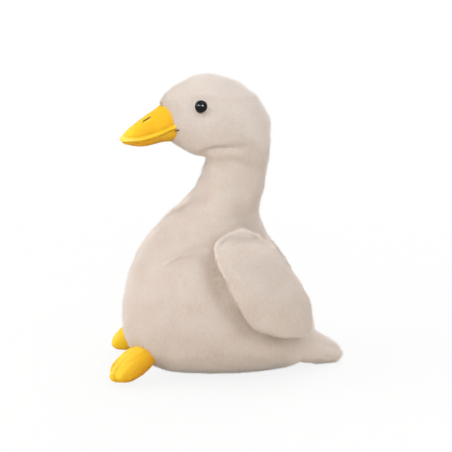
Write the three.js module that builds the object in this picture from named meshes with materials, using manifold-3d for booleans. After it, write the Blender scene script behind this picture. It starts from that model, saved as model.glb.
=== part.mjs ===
// A stuffed duck that sits on its belly: fur fabric skins over fibre fillings, a yellow bill and feet.
// Millimetres, +Z up, the duck looks along -X and its left side is at -Y. The origin is on the surface
// that it sits on, in the middle of its length and width.

import * as THREE from "three";
import { mergeVertices } from "three/addons/utils/BufferGeometryUtils.js";
import Module from "manifold-3d";

const wasm = await Module();
wasm.setup();

// Fabric and clearances
const furWall = 3;
const plushWall = 1.6;
const gap = 0.3;
const skinGap = 0.5;
const fillingGap = 0.8;
const overrun = 20;

// Torso: a pear that leans forward
const torsoHeight = 184;
const torsoLength = 230;
const torsoWidth = 184;

// Neck: it bends on a ball of filling that sits in the torso's opening
const neckPivotX = -17;
const neckPivotZ = 190;
const neckBallLength = 110;
const neckBallWidth = 98;
const neckHeight = 55;
const neckHem = 18;
const neckBackDegrees = 15;
const neckForwardDegrees = 20;

// Head: it nods on a ball of filling that sits in the neck's opening
const headPivotX = 8;
const headPivotZ = 250;
const headBallLength = 74;
const headBallWidth = 72;
const headHeight = 100;
const headLength = 131;
const headWidth = 98;
const headHem = 12;
const headUpDegrees = 20;
const headDownDegrees = 18;

// Tail: a blunt cone that lies on the surface
const tailPivotX = 100;
const tailPivotZ = 20.5;
const tailBallHeight = 41;
const tailBallWidth = 58;
const tailLength = 38;
const tailHem = 8;

// Wings: leaf-shaped pads sewn along the shoulder
const wingPivotX = 5;
const wingPivotY = 64;
const wingPivotZ = 168;
const wingYawDegrees = 22;
const wingDrop = 106;
const wingLength = 90;
const wingThickness = 26;
const wingStandOff = 34;
const wingLiftDegrees = 75;

// Feet: webbed pads with three toes, sewn at the ankle
const footPivotX = -98;
const footPivotY = 48;
const footPivotZ = 34;
const footSplayDegrees = 20;
const footPitchDegrees = 29;
const footWidth = 34;
const footLength = 50;
const footThickness = 30;
const footHem = 5;
const footSwingDegrees = 25;
const toeThread = 1.4;

// Bill: two plush halves that meet at the mouth seam
const billRootX = -58;
const billLength = 66.5;
const billSeamZ = 272.5;
const upperBillHeight = 48;
const upperBillWidth = 50;
const lowerBillHeight = 16;
const lowerBillWidth = 44;
const nostrilLength = 8;
const nostrilThread = 1.4;
const nostrilX = -93.5;
const nostrilY = 8.6;
const mouthStitchLength = 5;

// Safety eyes with their locking washers
const eyeDiameter = 14;
const eyeDomeHeight = 5.2;
const eyeRimThickness = 1;
const eyeShankDiameter = 3.8;
const eyeShankLength = 15;
const eyeForwardDegrees = 8;
const eyeUpDegrees = 17;
const eyeSeatDepth = 0.6;
const washerDiameter = 14;
const washerThickness = 2.4;

// Tables of shares. Each row: place along the form, low edge, high edge, half width, side offset.
// Torso rows: height, front, back and half width as shares of the torso's height, length and width.
const torsoShares = [
  [0, -0.304, 0.27, 0.152],
  [0.022, -0.374, 0.339, 0.234],
  [0.043, -0.411, 0.374, 0.283],
  [0.076, -0.457, 0.404, 0.342],
  [0.109, -0.491, 0.426, 0.386],
  [0.163, -0.524, 0.439, 0.435],
  [0.245, -0.55, 0.443, 0.478],
  [0.353, -0.557, 0.43, 0.5],
  [0.489, -0.548, 0.387, 0.5],
  [0.625, -0.522, 0.332, 0.473],
  [0.75, -0.485, 0.27, 0.424],
  [0.859, -0.435, 0.217, 0.359],
  [0.935, -0.378, 0.19, 0.31],
  [1, -0.33, 0.172, 0.28],
];
// Neck rows, from the pivot up: shares of the neck's height and of the neck ball's length and width.
const neckShares = [
  [0, -0.5, 0.5, 0.5],
  [0.073, -0.4725, 0.502, 0.4875],
  [0.182, -0.391, 0.509, 0.4745],
  [0.327, -0.318, 0.5275, 0.454],
  [0.455, -0.2545, 0.5425, 0.439],
  [0.582, -0.2045, 0.5545, 0.4235],
  [0.709, -0.1775, 0.5635, 0.4135],
  [0.836, -0.15, 0.5755, 0.403],
  [1, -0.1365, 0.582, 0.398],
];
// Head rows, from the pivot up: shares of the head's height, length and width.
const headShares = [
  [0, -0.282, 0.282, 0.367],
  [0.05, -0.321, 0.304, 0.398],
  [0.1, -0.42, 0.311, 0.429],
  [0.15, -0.527, 0.315, 0.454],
  [0.21, -0.595, 0.318, 0.474],
  [0.3, -0.649, 0.318, 0.49],
  [0.4, -0.672, 0.313, 0.5],
  [0.5, -0.683, 0.302, 0.495],
  [0.62, -0.676, 0.26, 0.474],
  [0.7, -0.672, 0.221, 0.449],
  [0.77, -0.641, 0.191, 0.413],
  [0.83, -0.595, 0.118, 0.362],
  [0.9, -0.527, 0.038, 0.286],
  [0.96, -0.42, -0.092, 0.194],
  [1, -0.267, -0.267, 0],
];
// Tail rows, from the pivot back: shares of the tail's length and of the tail ball's height and width.
const tailShares = [
  [0, -0.5, 0.5, 0.5],
  [0.3, -0.5, 0.366, 0.431],
  [0.58, -0.5, 0.22, 0.345],
  [0.8, -0.47, 0.073, 0.225],
  [0.94, -0.36, -0.06, 0.1],
  [1, -0.207, -0.207, 0],
];
// Wing rows, from the tip up to the shoulder: shares of the drop, length, thickness and stand-off.
const wingShares = [
  [-1, 0.71, 0.71, 0, 1],
  [-0.97, 0.45, 0.83, 0.23, 1],
  [-0.91, 0.24, 0.875, 0.365, 1],
  [-0.82, 0.06, 0.885, 0.46, 1],
  [-0.62, -0.08, 0.84, 0.5, 0.94],
  [-0.43, -0.19, 0.75, 0.5, 0.78],
  [-0.23, -0.275, 0.62, 0.48, 0.48],
  [-0.08, -0.315, 0.54, 0.425, 0.2],
  [0, -0.31, 0.46, 0.385, 0.06],
  [0.06, -0.265, 0.38, 0.3, 0.01],
  [0.099, -0.02, 0.16, 0, 0],
];
// Foot rows, from one side to the other: shares of the width, length and thickness.
const footShares = [
  [-0.5, 0.5, 0.5, 0],
  [-0.46, 0.16, 0.8, 0.24],
  [-0.4, -0.04, 0.88, 0.34],
  [-0.3, -0.2, 0.93, 0.46],
  [-0.18, -0.3, 0.9, 0.43],
  [-0.08, -0.302, 0.99, 0.49],
  [0, -0.302, 1.01, 0.5],
  [0.08, -0.302, 0.99, 0.49],
  [0.18, -0.3, 0.9, 0.43],
  [0.3, -0.2, 0.93, 0.46],
  [0.4, -0.04, 0.88, 0.34],
  [0.46, 0.16, 0.8, 0.24],
  [0.5, 0.5, 0.5, 0],
];
// Bill rows, from the root to the tip: shares of the bill's length, and of each half's height and width.
const upperBillShares = [
  [0, 0.34, 1.1, 0.52],
  [0.18, 0.235, 0.985, 0.49],
  [0.29, 0.165, 0.9, 0.45],
  [0.4, 0.105, 0.785, 0.41],
  [0.52, 0.055, 0.665, 0.385],
  [0.64, 0.015, 0.555, 0.36],
  [0.76, 0, 0.44, 0.33],
  [0.86, 0.002, 0.315, 0.285],
  [0.935, 0.017, 0.205, 0.22],
  [0.98, 0.035, 0.13, 0.14],
  [1, 0.08, 0.08, 0],
];
const lowerBillShares = [
  [0, -0.25, 0.86, 0.5],
  [0.15, -0.11, 0.66, 0.47],
  [0.29, 0.0, 0.425, 0.44],
  [0.4, -0.08, 0.255, 0.41],
  [0.52, -0.23, 0.115, 0.385],
  [0.64, -0.285, 0.005, 0.355],
  [0.76, -0.25, -0.035, 0.32],
  [0.87, -0.14, -0.03, 0.25],
  [0.93, -0.08, -0.035, 0.13],
  [0.94, -0.055, -0.055, 0],
];
const headEggShare = 0.24;
const eyeForthShare = -0.321;
const eyeRiseShare = 0.66;
const mouthForthShare = -0.519;
const mouthRiseShare = 0.38;
const toeGrooveShare = 0.18;
const squareSharePower = 2.25;
const roundPower = 2;
const sidesFine = 18;
const sidesMiddle = 14;
const sidesCoarse = 10;
const sidesFew = 8;

/** Rows in millimetres from rows of shares. */
function spread(shares, length, depth, width, offset = 0) {
  return shares.map(([along, low, high, half, side = 0]) => [
    along * length,
    low * depth,
    high * depth,
    half * width,
    side * offset,
  ]);
}

/**
 * A smooth closed form through rows, with `rings` rings of `sides` points and a cap at each end.
 * An open form, such as a sleeve, keeps its length when it grows or shrinks.
 */
function tower(form, { grow = 0, rings = form.rings, sides = sidesFine } = {}) {
  const { rows, power = roundPower, egg = 0, keel = 0.5, open = false } = form;
  const edges = new THREE.CatmullRomCurve3(rows.map((r) => new THREE.Vector3(r[1], r[2], r[3])));
  const places = new THREE.CatmullRomCurve3(rows.map((r) => new THREE.Vector3(r[0], r[4], 0)));
  for (const curve of [edges, places]) curve.curveType = "centripetal";
  const first = rows[0][0];
  const last = rows[rows.length - 1][0];
  const middle = (first + last) / 2;
  const longer = open ? 1 : 1 + (2 * grow) / (last - first);
  const positions = [];
  const faces = [];
  const rims = [];
  const bend = (value) => Math.sign(value) * Math.abs(value) ** (2 / power);
  const offset = (reach) => (grow < 0 ? reach ** 2 / (reach - grow) : reach + grow);
  for (let ring = 0; ring < rings; ring += 1) {
    const share = ring / (rings - 1);
    const edge = edges.getPoint(share);
    const place = places.getPoint(share);
    const along = middle + (place.x - middle) * longer;
    const centre = edge.x + (edge.y - edge.x) * keel;
    const half = Math.max(edge.z, 0);
    const start = positions.length / 3;
    if (half < gap / 10) {
      positions.push(centre, place.y, along);
      rims.push([start, 1]);
      continue;
    }
    for (let side = 0; side < sides; side += 1) {
      const angle = (side / sides) * 2 * Math.PI;
      const forth = bend(Math.cos(angle));
      const across = bend(Math.sin(angle));
      const reach = offset(forth > 0 ? edge.y - centre : centre - edge.x);
      positions.push(centre + forth * reach, place.y + across * offset(half) * (1 + egg * forth), along);
    }
    rims.push([start, sides]);
  }
  for (let ring = 0; ring + 1 < rims.length; ring += 1) joinRings(faces, rims[ring], rims[ring + 1], sides);
  capRing(positions, faces, rims[0], true);
  capRing(positions, faces, rims[rims.length - 1], false);
  const geometry = new THREE.BufferGeometry();
  geometry.setAttribute("position", new THREE.Float32BufferAttribute(positions, 3));
  geometry.setIndex(faces);
  return geometry.applyMatrix4(form.frame ?? new THREE.Matrix4());
}

/** Faces between two neighbouring rings, either of which may be a single point. */
function joinRings(faces, [low, lowCount], [high, highCount], sides) {
  for (let side = 0; side < sides; side += 1) {
    const next = (side + 1) % sides;
    const a = low + (lowCount > 1 ? side : 0);
    const b = low + (lowCount > 1 ? next : 0);
    const c = high + (highCount > 1 ? next : 0);
    const d = high + (highCount > 1 ? side : 0);
    if (lowCount > 1) faces.push(a, b, c);
    if (highCount > 1) faces.push(a, c, d);
  }
}

/** A fan that closes an end ring, facing down at the first ring and up at the last. */
function capRing(positions, faces, [start, count], first) {
  if (count === 1) return;
  const middle = positions.length / 3;
  const sums = [0, 0, 0];
  for (let point = 0; point < count; point += 1)
    for (let axis = 0; axis < 3; axis += 1) sums[axis] += positions[(start + point) * 3 + axis] / count;
  positions.push(...sums);
  for (let point = 0; point < count; point += 1) {
    const next = (point + 1) % count;
    if (first) faces.push(middle, start + next, start + point);
    else faces.push(middle, start + point, start + next);
  }
}

/** A manifold solid from a closed geometry. */
function solid(geometry) {
  const bare = geometry.clone();
  bare.deleteAttribute("normal");
  bare.deleteAttribute("uv");
  const merged = mergeVertices(bare);
  return new wasm.Manifold(
    new wasm.Mesh({
      numProp: 3,
      vertProperties: new Float32Array(merged.attributes.position.array),
      triVerts: new Uint32Array(merged.index.array),
    }),
  );
}

/** The solid of a form, grown or shrunk by `grow`. */
function formSolid(form, options) {
  return solid(tower(form, options));
}

/** A ball whose poles lie on the Y axis, stretched to a size in X, Y and Z. */
function ball([x, y, z], [sizeX, sizeY, sizeZ], { socket = false, sides = sidesFine } = {}) {
  const clear = socket ? 1 / Math.cos(Math.PI / sides) ** 2 : 1;
  const extra = socket ? gap : 0;
  const geometry = new THREE.SphereGeometry(0.5, sides, sides / 2);
  geometry.scale((sizeX + extra) * clear, (sizeY + extra) * clear, (sizeZ + extra) * clear);
  return solid(geometry.translate(x, y, z));
}

/** The half of a ball on the near side of a cut. */
function halfBall(point, size, cut, options) {
  return ball(point, size, options).intersect(cut);
}

/** A box from its low and high corners. */
function box(low, high) {
  const size = high.map((value, axis) => value - low[axis]);
  const geometry = new THREE.BoxGeometry(...size);
  return solid(geometry.translate(...high.map((value, axis) => (value + low[axis]) / 2)));
}

/** A round bar of a length along +Z of a frame. */
function bar(diameter, low, high, frame) {
  const geometry = new THREE.CylinderGeometry(diameter / 2, diameter / 2, high - low, sidesMiddle);
  geometry.rotateX(Math.PI / 2).translate(0, 0, (low + high) / 2);
  return solid(geometry.applyMatrix4(frame));
}

/** A thread of round section through points. */
function thread(points, diameter) {
  const section = new THREE.Shape().absarc(0, 0, diameter / 2, 0, 2 * Math.PI);
  const extrudePath = new THREE.CatmullRomCurve3(points);
  const options = { steps: points.length, curveSegments: 2, extrudePath, bevelEnabled: false };
  return solid(new THREE.ExtrudeGeometry(section, options));
}

/** A frame from three axis directions and an origin. */
function frameOf(x, y, z, origin) {
  return new THREE.Matrix4().makeBasis(x, y, z).setPosition(...origin);
}

/** A solid turned by `degrees` about an axis through a point. */
function turned(shape, point, axis, degrees) {
  const centre = new THREE.Vector3(...point);
  const matrix = new THREE.Matrix4()
    .makeTranslation(centre)
    .multiply(new THREE.Matrix4().makeRotationAxis(axis, THREE.MathUtils.degToRad(degrees)))
    .multiply(new THREE.Matrix4().makeTranslation(centre.negate()));
  return shape.transform(matrix.elements);
}

/** Angles in even steps from one limit of a joint to the other. */
function steps(low, high, count) {
  return Array.from({ length: count }, (_, k) => low + ((high - low) * k) / (count - 1));
}

/** The room that a shape needs while it turns through angles about an axis. */
function sweep(shape, point, axis, angles) {
  return wasm.Manifold.union(angles.map((degrees) => turned(shape, point, axis, degrees)));
}

/** A size with a wall taken off each side. */
function shrunk(size, wall) {
  return size.map((value) => value - 2 * wall);
}

/** What is left of a shape when each of the others is cut away. */
function without(shape, ...others) {
  return others.reduce((left, other) => left.subtract(other), shape);
}

const left = -1;
const right = 1;
const up = new THREE.Vector3(0, 0, 1);
const nodAxis = new THREE.Vector3(0, -1, 0);
const everywhere = 4 * torsoLength;
const below = (z) => box([-everywhere, -everywhere, -everywhere], [everywhere, everywhere, z]);
const before = (x) => box([-everywhere, -everywhere, -everywhere], [x, everywhere, everywhere]);
const ground = below(0);

// Forms of the larger parts
const torsoForm = {
  rows: spread(torsoShares, torsoHeight, torsoLength, torsoWidth),
  power: squareSharePower,
  rings: 12,
};
const neckForm = {
  rows: spread(neckShares, neckHeight, neckBallLength, neckBallWidth),
  rings: 7,
  open: true,
  frame: new THREE.Matrix4().makeTranslation(neckPivotX, 0, neckPivotZ),
};
const headForm = {
  rows: spread(headShares, headHeight, headLength, headWidth),
  egg: headEggShare,
  rings: 11,
  frame: new THREE.Matrix4().makeTranslation(headPivotX, 0, headPivotZ),
};
const tailForm = {
  rows: spread(tailShares, tailLength, tailBallHeight, tailBallWidth),
  rings: 7,
  frame: frameOf(up, nodAxis, new THREE.Vector3(1, 0, 0), [tailPivotX, 0, tailPivotZ]),
};
const acrossLeft = new THREE.Vector3(0, 1, 0);
const ahead = new THREE.Vector3(-1, 0, 0);
const billFrame = frameOf(up, acrossLeft, ahead, [billRootX, 0, billSeamZ]);
const upperBillForm = {
  rows: spread(upperBillShares, billLength, upperBillHeight, upperBillWidth),
  keel: 0.06,
  rings: 10,
  open: true,
  frame: billFrame,
};
const lowerBillForm = {
  rows: spread(lowerBillShares, billLength, lowerBillHeight, lowerBillWidth),
  keel: 0.85,
  rings: 9,
  frame: billFrame,
};

const eyeX = headPivotX + eyeForthShare * headLength;
const eyeZ = headPivotZ + eyeRiseShare * headHeight;
const mouthCornerX = headPivotX + mouthForthShare * headLength;
const mouthCornerZ = headPivotZ + mouthRiseShare * headHeight;
const neckPivot = [neckPivotX, 0, neckPivotZ];
const neckBallSize = [neckBallLength, neckBallWidth, neckBallLength];
const headPivot = [headPivotX, 0, headPivotZ];
const headBallSize = [headBallLength, headBallWidth, headBallLength];
const tailPivot = [tailPivotX, 0, tailPivotZ];
const tailBallSize = [tailBallHeight, tailBallWidth, tailBallHeight];

/** A wing's frame: X along the shoulder seam to the back, Y across, Z up. */
function wingFrame(side) {
  const yaw = THREE.MathUtils.degToRad(wingYawDegrees);
  const along = new THREE.Vector3(Math.cos(yaw), -side * Math.sin(yaw), 0);
  const out = new THREE.Vector3().crossVectors(up, along);
  return frameOf(along, out, up, [wingPivotX, side * wingPivotY, wingPivotZ]);
}

function wingForm(side) {
  return {
    rows: spread(wingShares, wingDrop, wingLength, wingThickness, side * wingStandOff),
    rings: 9,
    open: true,
    frame: wingFrame(side),
  };
}

/** The layer between a wing's tip and shoulder, a wall in from each. */
function wingInside(wall) {
  const rows = wingForm(left).rows;
  const low = wingPivotZ + rows[0][0] + wall;
  const high = wingPivotZ + rows[rows.length - 1][0] - wall;
  return box([-everywhere, -everywhere, low], [everywhere, everywhere, high]);
}

/** The direction about which a wing lifts outwards, on either side. */
function wingAxis(side) {
  const yaw = THREE.MathUtils.degToRad(wingYawDegrees);
  return new THREE.Vector3(Math.cos(yaw), -side * Math.sin(yaw), 0).multiplyScalar(side);
}

/** A foot's frame: X from the ankle to the toes, Y out of its upper face, Z across the toes. */
function footFrame(side) {
  const splay = THREE.MathUtils.degToRad(footSplayDegrees);
  const pitch = THREE.MathUtils.degToRad(footPitchDegrees);
  const heading = new THREE.Vector3(-Math.cos(splay), side * Math.sin(splay), 0);
  const across = new THREE.Vector3().crossVectors(heading, up);
  const forward = heading.multiplyScalar(Math.cos(pitch)).addScaledVector(up, -Math.sin(pitch));
  const upper = new THREE.Vector3().crossVectors(across, forward);
  return frameOf(forward, upper, across, [footPivotX, side * footPivotY, footPivotZ]);
}

function footForm(side) {
  const rows = spread(footShares, footWidth, footLength, footThickness);
  return { rows, rings: 11, frame: footFrame(side) };
}

/** The direction about which the toes swing down. */
function footAxis(side) {
  const across = new THREE.Vector3();
  footFrame(side).extractBasis(new THREE.Vector3(), new THREE.Vector3(), across);
  return across.negate();
}

/** An eye's frame: Z out of the head, at the place where the head's side carries it. */
function eyeFrame(side) {
  const out = new THREE.Vector3(0, side, 0);
  out.applyAxisAngle(new THREE.Vector3(side, 0, 0), THREE.MathUtils.degToRad(eyeUpDegrees));
  out.applyAxisAngle(new THREE.Vector3(0, 0, side), THREE.MathUtils.degToRad(eyeForwardDegrees));
  const across = new THREE.Vector3().crossVectors(up, out).normalize();
  const high = new THREE.Vector3().crossVectors(out, across);
  return frameOf(across, high, out, [eyeX, side * headSideAt(eyeX, eyeZ), eyeZ]);
}

/** A form's low edge, high edge and half width at a place along it. */
function sectionAt(form, along) {
  const upper = form.rows.findIndex((row) => row[0] >= along);
  const [low, high] = [form.rows[upper - 1], form.rows[upper]];
  const share = (along - low[0]) / (high[0] - low[0]);
  return low.map((value, k) => THREE.MathUtils.lerp(value, high[k], share)).slice(1, 4);
}

/** How far the head's side lies from the middle plane at a place given by x and z. */
function headSideAt(x, z) {
  const [low, high, half] = sectionAt(headForm, z - headPivotZ);
  const forth = (x - headPivotX - (low + high) / 2) / ((high - low) / 2);
  return half * Math.sqrt(1 - forth ** 2) * (1 + headEggShare * forth);
}

/** The height of the upper bill's top at a place given by x and y. */
function billTopAt(x, y) {
  const [low, high, half] = sectionAt(upperBillForm, billRootX - x);
  const centre = low + (high - low) * upperBillForm.keel;
  return billSeamZ + centre + (high - centre) * Math.sqrt(1 - (y / half) ** 2);
}

const coarse = { sides: sidesCoarse };
const middling = { sides: sidesMiddle };
const footSteps = steps(0, footSwingDegrees, 3);
const wingSteps = steps(0, -wingLiftDegrees, 6);
const neckSteps = steps(-neckBackDegrees, neckForwardDegrees, 4);
const headSteps = steps(-headUpDegrees, headDownDegrees, 5);

/** The room that a foot needs in the torso while it swings. */
function footRoom(side) {
  const grown = formSolid(footForm(side), { grow: 2 * skinGap, rings: 8, ...coarse });
  const pivot = [footPivotX, side * footPivotY, footPivotZ];
  return wasm.Manifold.hull(footSteps.map((degrees) => turned(grown, pivot, footAxis(side), degrees)));
}

const parts = new THREE.Group();
const colours = {
  fur: 0xf0e6dc,
  filling: 0xf7f5f0,
  yellow: 0xf7bd2e,
  orange: 0xe6a83a,
  thread: 0x2a2220,
  whiteThread: 0xe8dccb,
  eye: 0x14100e,
  washer: 0x2b2b2b,
};

/** Adds a solid to the duck as a named mesh. */
function add(name, shape, colour, roughness = 0.95) {
  const { vertProperties, triVerts, numProp } = shape.getMesh();
  const geometry = new THREE.BufferGeometry();
  const positions = new Float32Array(vertProperties.length);
  for (let k = 0; k < vertProperties.length; k += 1) positions[k] = vertProperties[k];
  if (numProp !== 3) throw new Error(`${name} has extra properties`);
  geometry.setAttribute("position", new THREE.BufferAttribute(positions, 3));
  geometry.setIndex(new THREE.BufferAttribute(new Uint32Array(triVerts), 1));
  geometry.computeVertexNormals();
  const material = new THREE.MeshStandardMaterial({ color: colour, roughness, metalness: 0 });
  const mesh = new THREE.Mesh(geometry, material);
  mesh.name = name;
  parts.add(mesh);
}

// Torso: a skin open at the neck, with its filling
const feetRoom = [footRoom(left), footRoom(right)];
const neckSocket = ball(neckPivot, neckBallSize, { socket: true });
const tailSocket = ball(tailPivot, tailBallSize, { socket: true, ...middling });
const neckRoom = sweep(formSolid(neckForm, { grow: skinGap }), neckPivot, nodAxis, neckSteps);
const torsoOuter = formSolid(torsoForm);
const torsoHollow = formSolid(torsoForm, { grow: -furWall, rings: 9, ...coarse });
const torsoCore = formSolid(torsoForm, { grow: -furWall - fillingGap, rings: 9, ...coarse });
const torsoCuts = [neckSocket, neckRoom, tailSocket, ...feetRoom];
add("torso_skin", without(torsoOuter, torsoHollow, ...torsoCuts), colours.fur);
const neckSocketRough = ball(neckPivot, neckBallSize, { socket: true, ...middling });
add("torso_filling", without(torsoCore, neckSocketRough, tailSocket, ...feetRoom), colours.filling);

// Neck: a sleeve over a filling whose lower end is the ball
const headRoom = sweep(formSolid(headForm, { grow: skinGap }), headPivot, nodAxis, headSteps);
const headSocket = ball(headPivot, headBallSize, { socket: true }).add(headRoom);
const neckLow = neckPivotZ - neckHem;
const neckEnd = below(neckPivotZ);
const neckOuter = formSolid(neckForm).add(halfBall(neckPivot, neckBallSize, neckEnd, middling));
const neckHollow = formSolid(neckForm, { grow: -furWall, rings: 6, ...coarse })
  .add(halfBall(neckPivot, shrunk(neckBallSize, furWall), neckEnd, coarse));
const neckCore = formSolid(neckForm, { grow: -furWall - fillingGap, rings: 6, ...coarse })
  .add(halfBall(neckPivot, shrunk(neckBallSize, furWall + fillingGap), neckEnd, coarse));
const neckBallEnd = halfBall(neckPivot, neckBallSize, below(neckLow - gap), coarse);
add("neck_skin", without(neckOuter, neckHollow, headSocket, below(neckLow)), colours.fur);
add("neck_filling", without(neckCore.add(neckBallEnd), headSocket), colours.filling);

// Head: a skin with a hole for each eye, over a filling whose lower end is the ball
const headLow = headPivotZ - headHem;
const headEnd = below(headPivotZ);
const headOuter = formSolid(headForm).add(halfBall(headPivot, headBallSize, headEnd, coarse));
const headThroat = below(headPivotZ + 2 * furWall);
const headCoreThroat = below(headPivotZ + 2 * furWall - fillingGap);
const headHollow = formSolid(headForm, { grow: -furWall, rings: 8, ...coarse })
  .add(halfBall(headPivot, shrunk(headBallSize, furWall), headThroat, coarse));
const headCore = formSolid(headForm, { grow: -furWall - fillingGap, rings: 8, ...coarse })
  .add(halfBall(headPivot, shrunk(headBallSize, furWall + fillingGap), headCoreThroat, coarse));
const headBallEnd = halfBall(headPivot, headBallSize, below(headLow - gap), coarse);
const eyeFrames = [left, right].map(eyeFrame);
const eyeSeats = eyeFrames.map((frame) => bar(eyeDiameter + 2 * gap, -eyeSeatDepth, overrun, frame));
const eyeHoles = eyeFrames.map((frame) => bar(eyeShankDiameter + 2 * gap, -overrun, overrun, frame));
const washerTop = -eyeSeatDepth - furWall - gap;
const washerPockets = eyeFrames.map((frame) =>
  bar(washerDiameter + 2 * gap, -eyeShankLength - 2 * gap, 0, frame),
);
add("head_skin", without(headOuter, headHollow, below(headLow), ...eyeSeats, ...eyeHoles), colours.fur);
add("head_filling", without(headCore.add(headBallEnd), ...washerPockets), colours.filling);

// Eyes: a dome and shank moulded in one, and the washer pressed on inside
const domeRadius = eyeDiameter / 2;
const domeArc = Array.from({ length: 7 }, (_, k) => {
  const angle = (k / 6) * (Math.PI / 2);
  return new THREE.Vector2(domeRadius * Math.cos(angle), eyeRimThickness + eyeDomeHeight * Math.sin(angle));
});
domeArc[domeArc.length - 1].x = 0;
const eyeProfile = [
  new THREE.Vector2(0, -eyeShankLength),
  new THREE.Vector2(eyeShankDiameter / 2, -eyeShankLength),
  new THREE.Vector2(eyeShankDiameter / 2, 0),
  new THREE.Vector2(domeRadius, 0),
  ...domeArc,
];
const washerProfile = [
  new THREE.Vector2(eyeShankDiameter / 2 + gap, washerTop - washerThickness),
  new THREE.Vector2(washerDiameter / 2, washerTop - washerThickness),
  new THREE.Vector2(washerDiameter / 2, washerTop),
  new THREE.Vector2(eyeShankDiameter / 2 + gap, washerTop),
  new THREE.Vector2(eyeShankDiameter / 2 + gap, washerTop - washerThickness),
];
/** A turned solid whose profile runs up the Z axis of a frame. */
function lathed(profile, frame) {
  return solid(new THREE.LatheGeometry(profile, sidesMiddle).rotateX(Math.PI / 2).applyMatrix4(frame));
}
const eyeLift = gap - eyeSeatDepth;
for (const [side, name] of [[left, "left"], [right, "right"]]) {
  const frame = eyeFrame(side).multiply(new THREE.Matrix4().makeTranslation(0, 0, eyeLift));
  add(`${name}_eye`, lathed(eyeProfile, frame), colours.eye, 0.12);
  const washer = without(lathed(washerProfile, eyeFrame(side)), headOuter.subtract(headHollow));
  add(`${name}_eye_washer`, washer, colours.washer, 0.5);
}

// Bill: two halves cut by the head, the lower one cut by the upper one
const headClear = formSolid(headForm, { grow: skinGap }).add(ball(headPivot, headBallSize));
const upperClear = formSolid(upperBillForm, { grow: gap });
const upperOuter = formSolid(upperBillForm);
const billTipX = billRootX - billLength;
const upperHollow = formSolid(upperBillForm, { grow: -plushWall, rings: 8, ...coarse }).subtract(
  before(billTipX + 2 * plushWall),
);
const upperCore = formSolid(upperBillForm, { grow: -plushWall - fillingGap, rings: 8, ...coarse }).subtract(
  before(billTipX + 2 * plushWall + fillingGap),
);
const lowerOuter = formSolid(lowerBillForm, coarse);
add("upper_bill_skin", without(upperOuter, upperHollow, headClear), colours.yellow);
add("upper_bill_filling", without(upperCore, headClear), colours.filling);
add("lower_bill", without(lowerOuter, headClear, upperClear), colours.orange);

// Stitches on the bill: a nostril and a mouth corner on each side, laid on the fabric
for (const [side, name] of [[left, "left"], [right, "right"]]) {
  const lift = nostrilThread / 2 + skinGap + gap;
  const points = [-0.5, 0, 0.5].map((share) => {
    const x = nostrilX + share * nostrilLength;
    return new THREE.Vector3(x, side * nostrilY, billTopAt(x, nostrilY) + lift);
  });
  add(`${name}_nostril_stitch`, without(thread(points, nostrilThread), upperClear), colours.thread);
  const corner = [-0.5, 0, 0.5].map((share) => {
    const x = mouthCornerX + share * mouthStitchLength;
    return new THREE.Vector3(x, side * (headSideAt(x, mouthCornerZ) + lift), mouthCornerZ);
  });
  add(`${name}_mouth_stitch`, without(thread(corner, nostrilThread), headOuter, upperClear), colours.thread);
}

// Tail: a blunt cone whose front end is the ball
const tailFront = tailPivotX - tailHem;
const tailEnd = before(tailPivotX + 2 * furWall);
const tailCoreEnd = before(tailPivotX + 2 * furWall - fillingGap);
const tailOuter = formSolid(tailForm, middling)
  .add(halfBall(tailPivot, tailBallSize, before(tailPivotX), coarse));
const tailHollow = formSolid(tailForm, { grow: -furWall, rings: 6, ...coarse })
  .add(halfBall(tailPivot, shrunk(tailBallSize, furWall), tailEnd, coarse));
const tailCore = formSolid(tailForm, { grow: -furWall - fillingGap, rings: 6, ...coarse })
  .add(halfBall(tailPivot, shrunk(tailBallSize, furWall + fillingGap), tailCoreEnd, coarse));
const tailBallEnd = halfBall(tailPivot, tailBallSize, before(tailFront - gap), coarse);
add("tail_skin", without(tailOuter, tailHollow, before(tailFront), ground), colours.fur);
add("tail_filling", tailCore.add(tailBallEnd), colours.filling);

// Wings: pads trimmed so that they clear the torso at every step of their lift
const torsoClear = formSolid(torsoForm, { grow: skinGap });
for (const [side, name] of [[left, "left"], [right, "right"]]) {
  const pivot = [wingPivotX, side * wingPivotY, wingPivotZ];
  const room = sweep(torsoClear, pivot, wingAxis(side), wingSteps);
  const outer = formSolid(wingForm(side), middling);
  const hollow = formSolid(wingForm(side), { grow: -furWall, rings: 7, ...coarse }).intersect(
    wingInside(furWall),
  );
  const core = formSolid(wingForm(side), { grow: -furWall - fillingGap, rings: 7, ...coarse }).intersect(
    wingInside(furWall + fillingGap),
  );
  add(`${name}_wing_skin`, without(outer, hollow, room), colours.fur);
  add(`${name}_wing_filling`, without(core, room), colours.filling);
}

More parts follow.
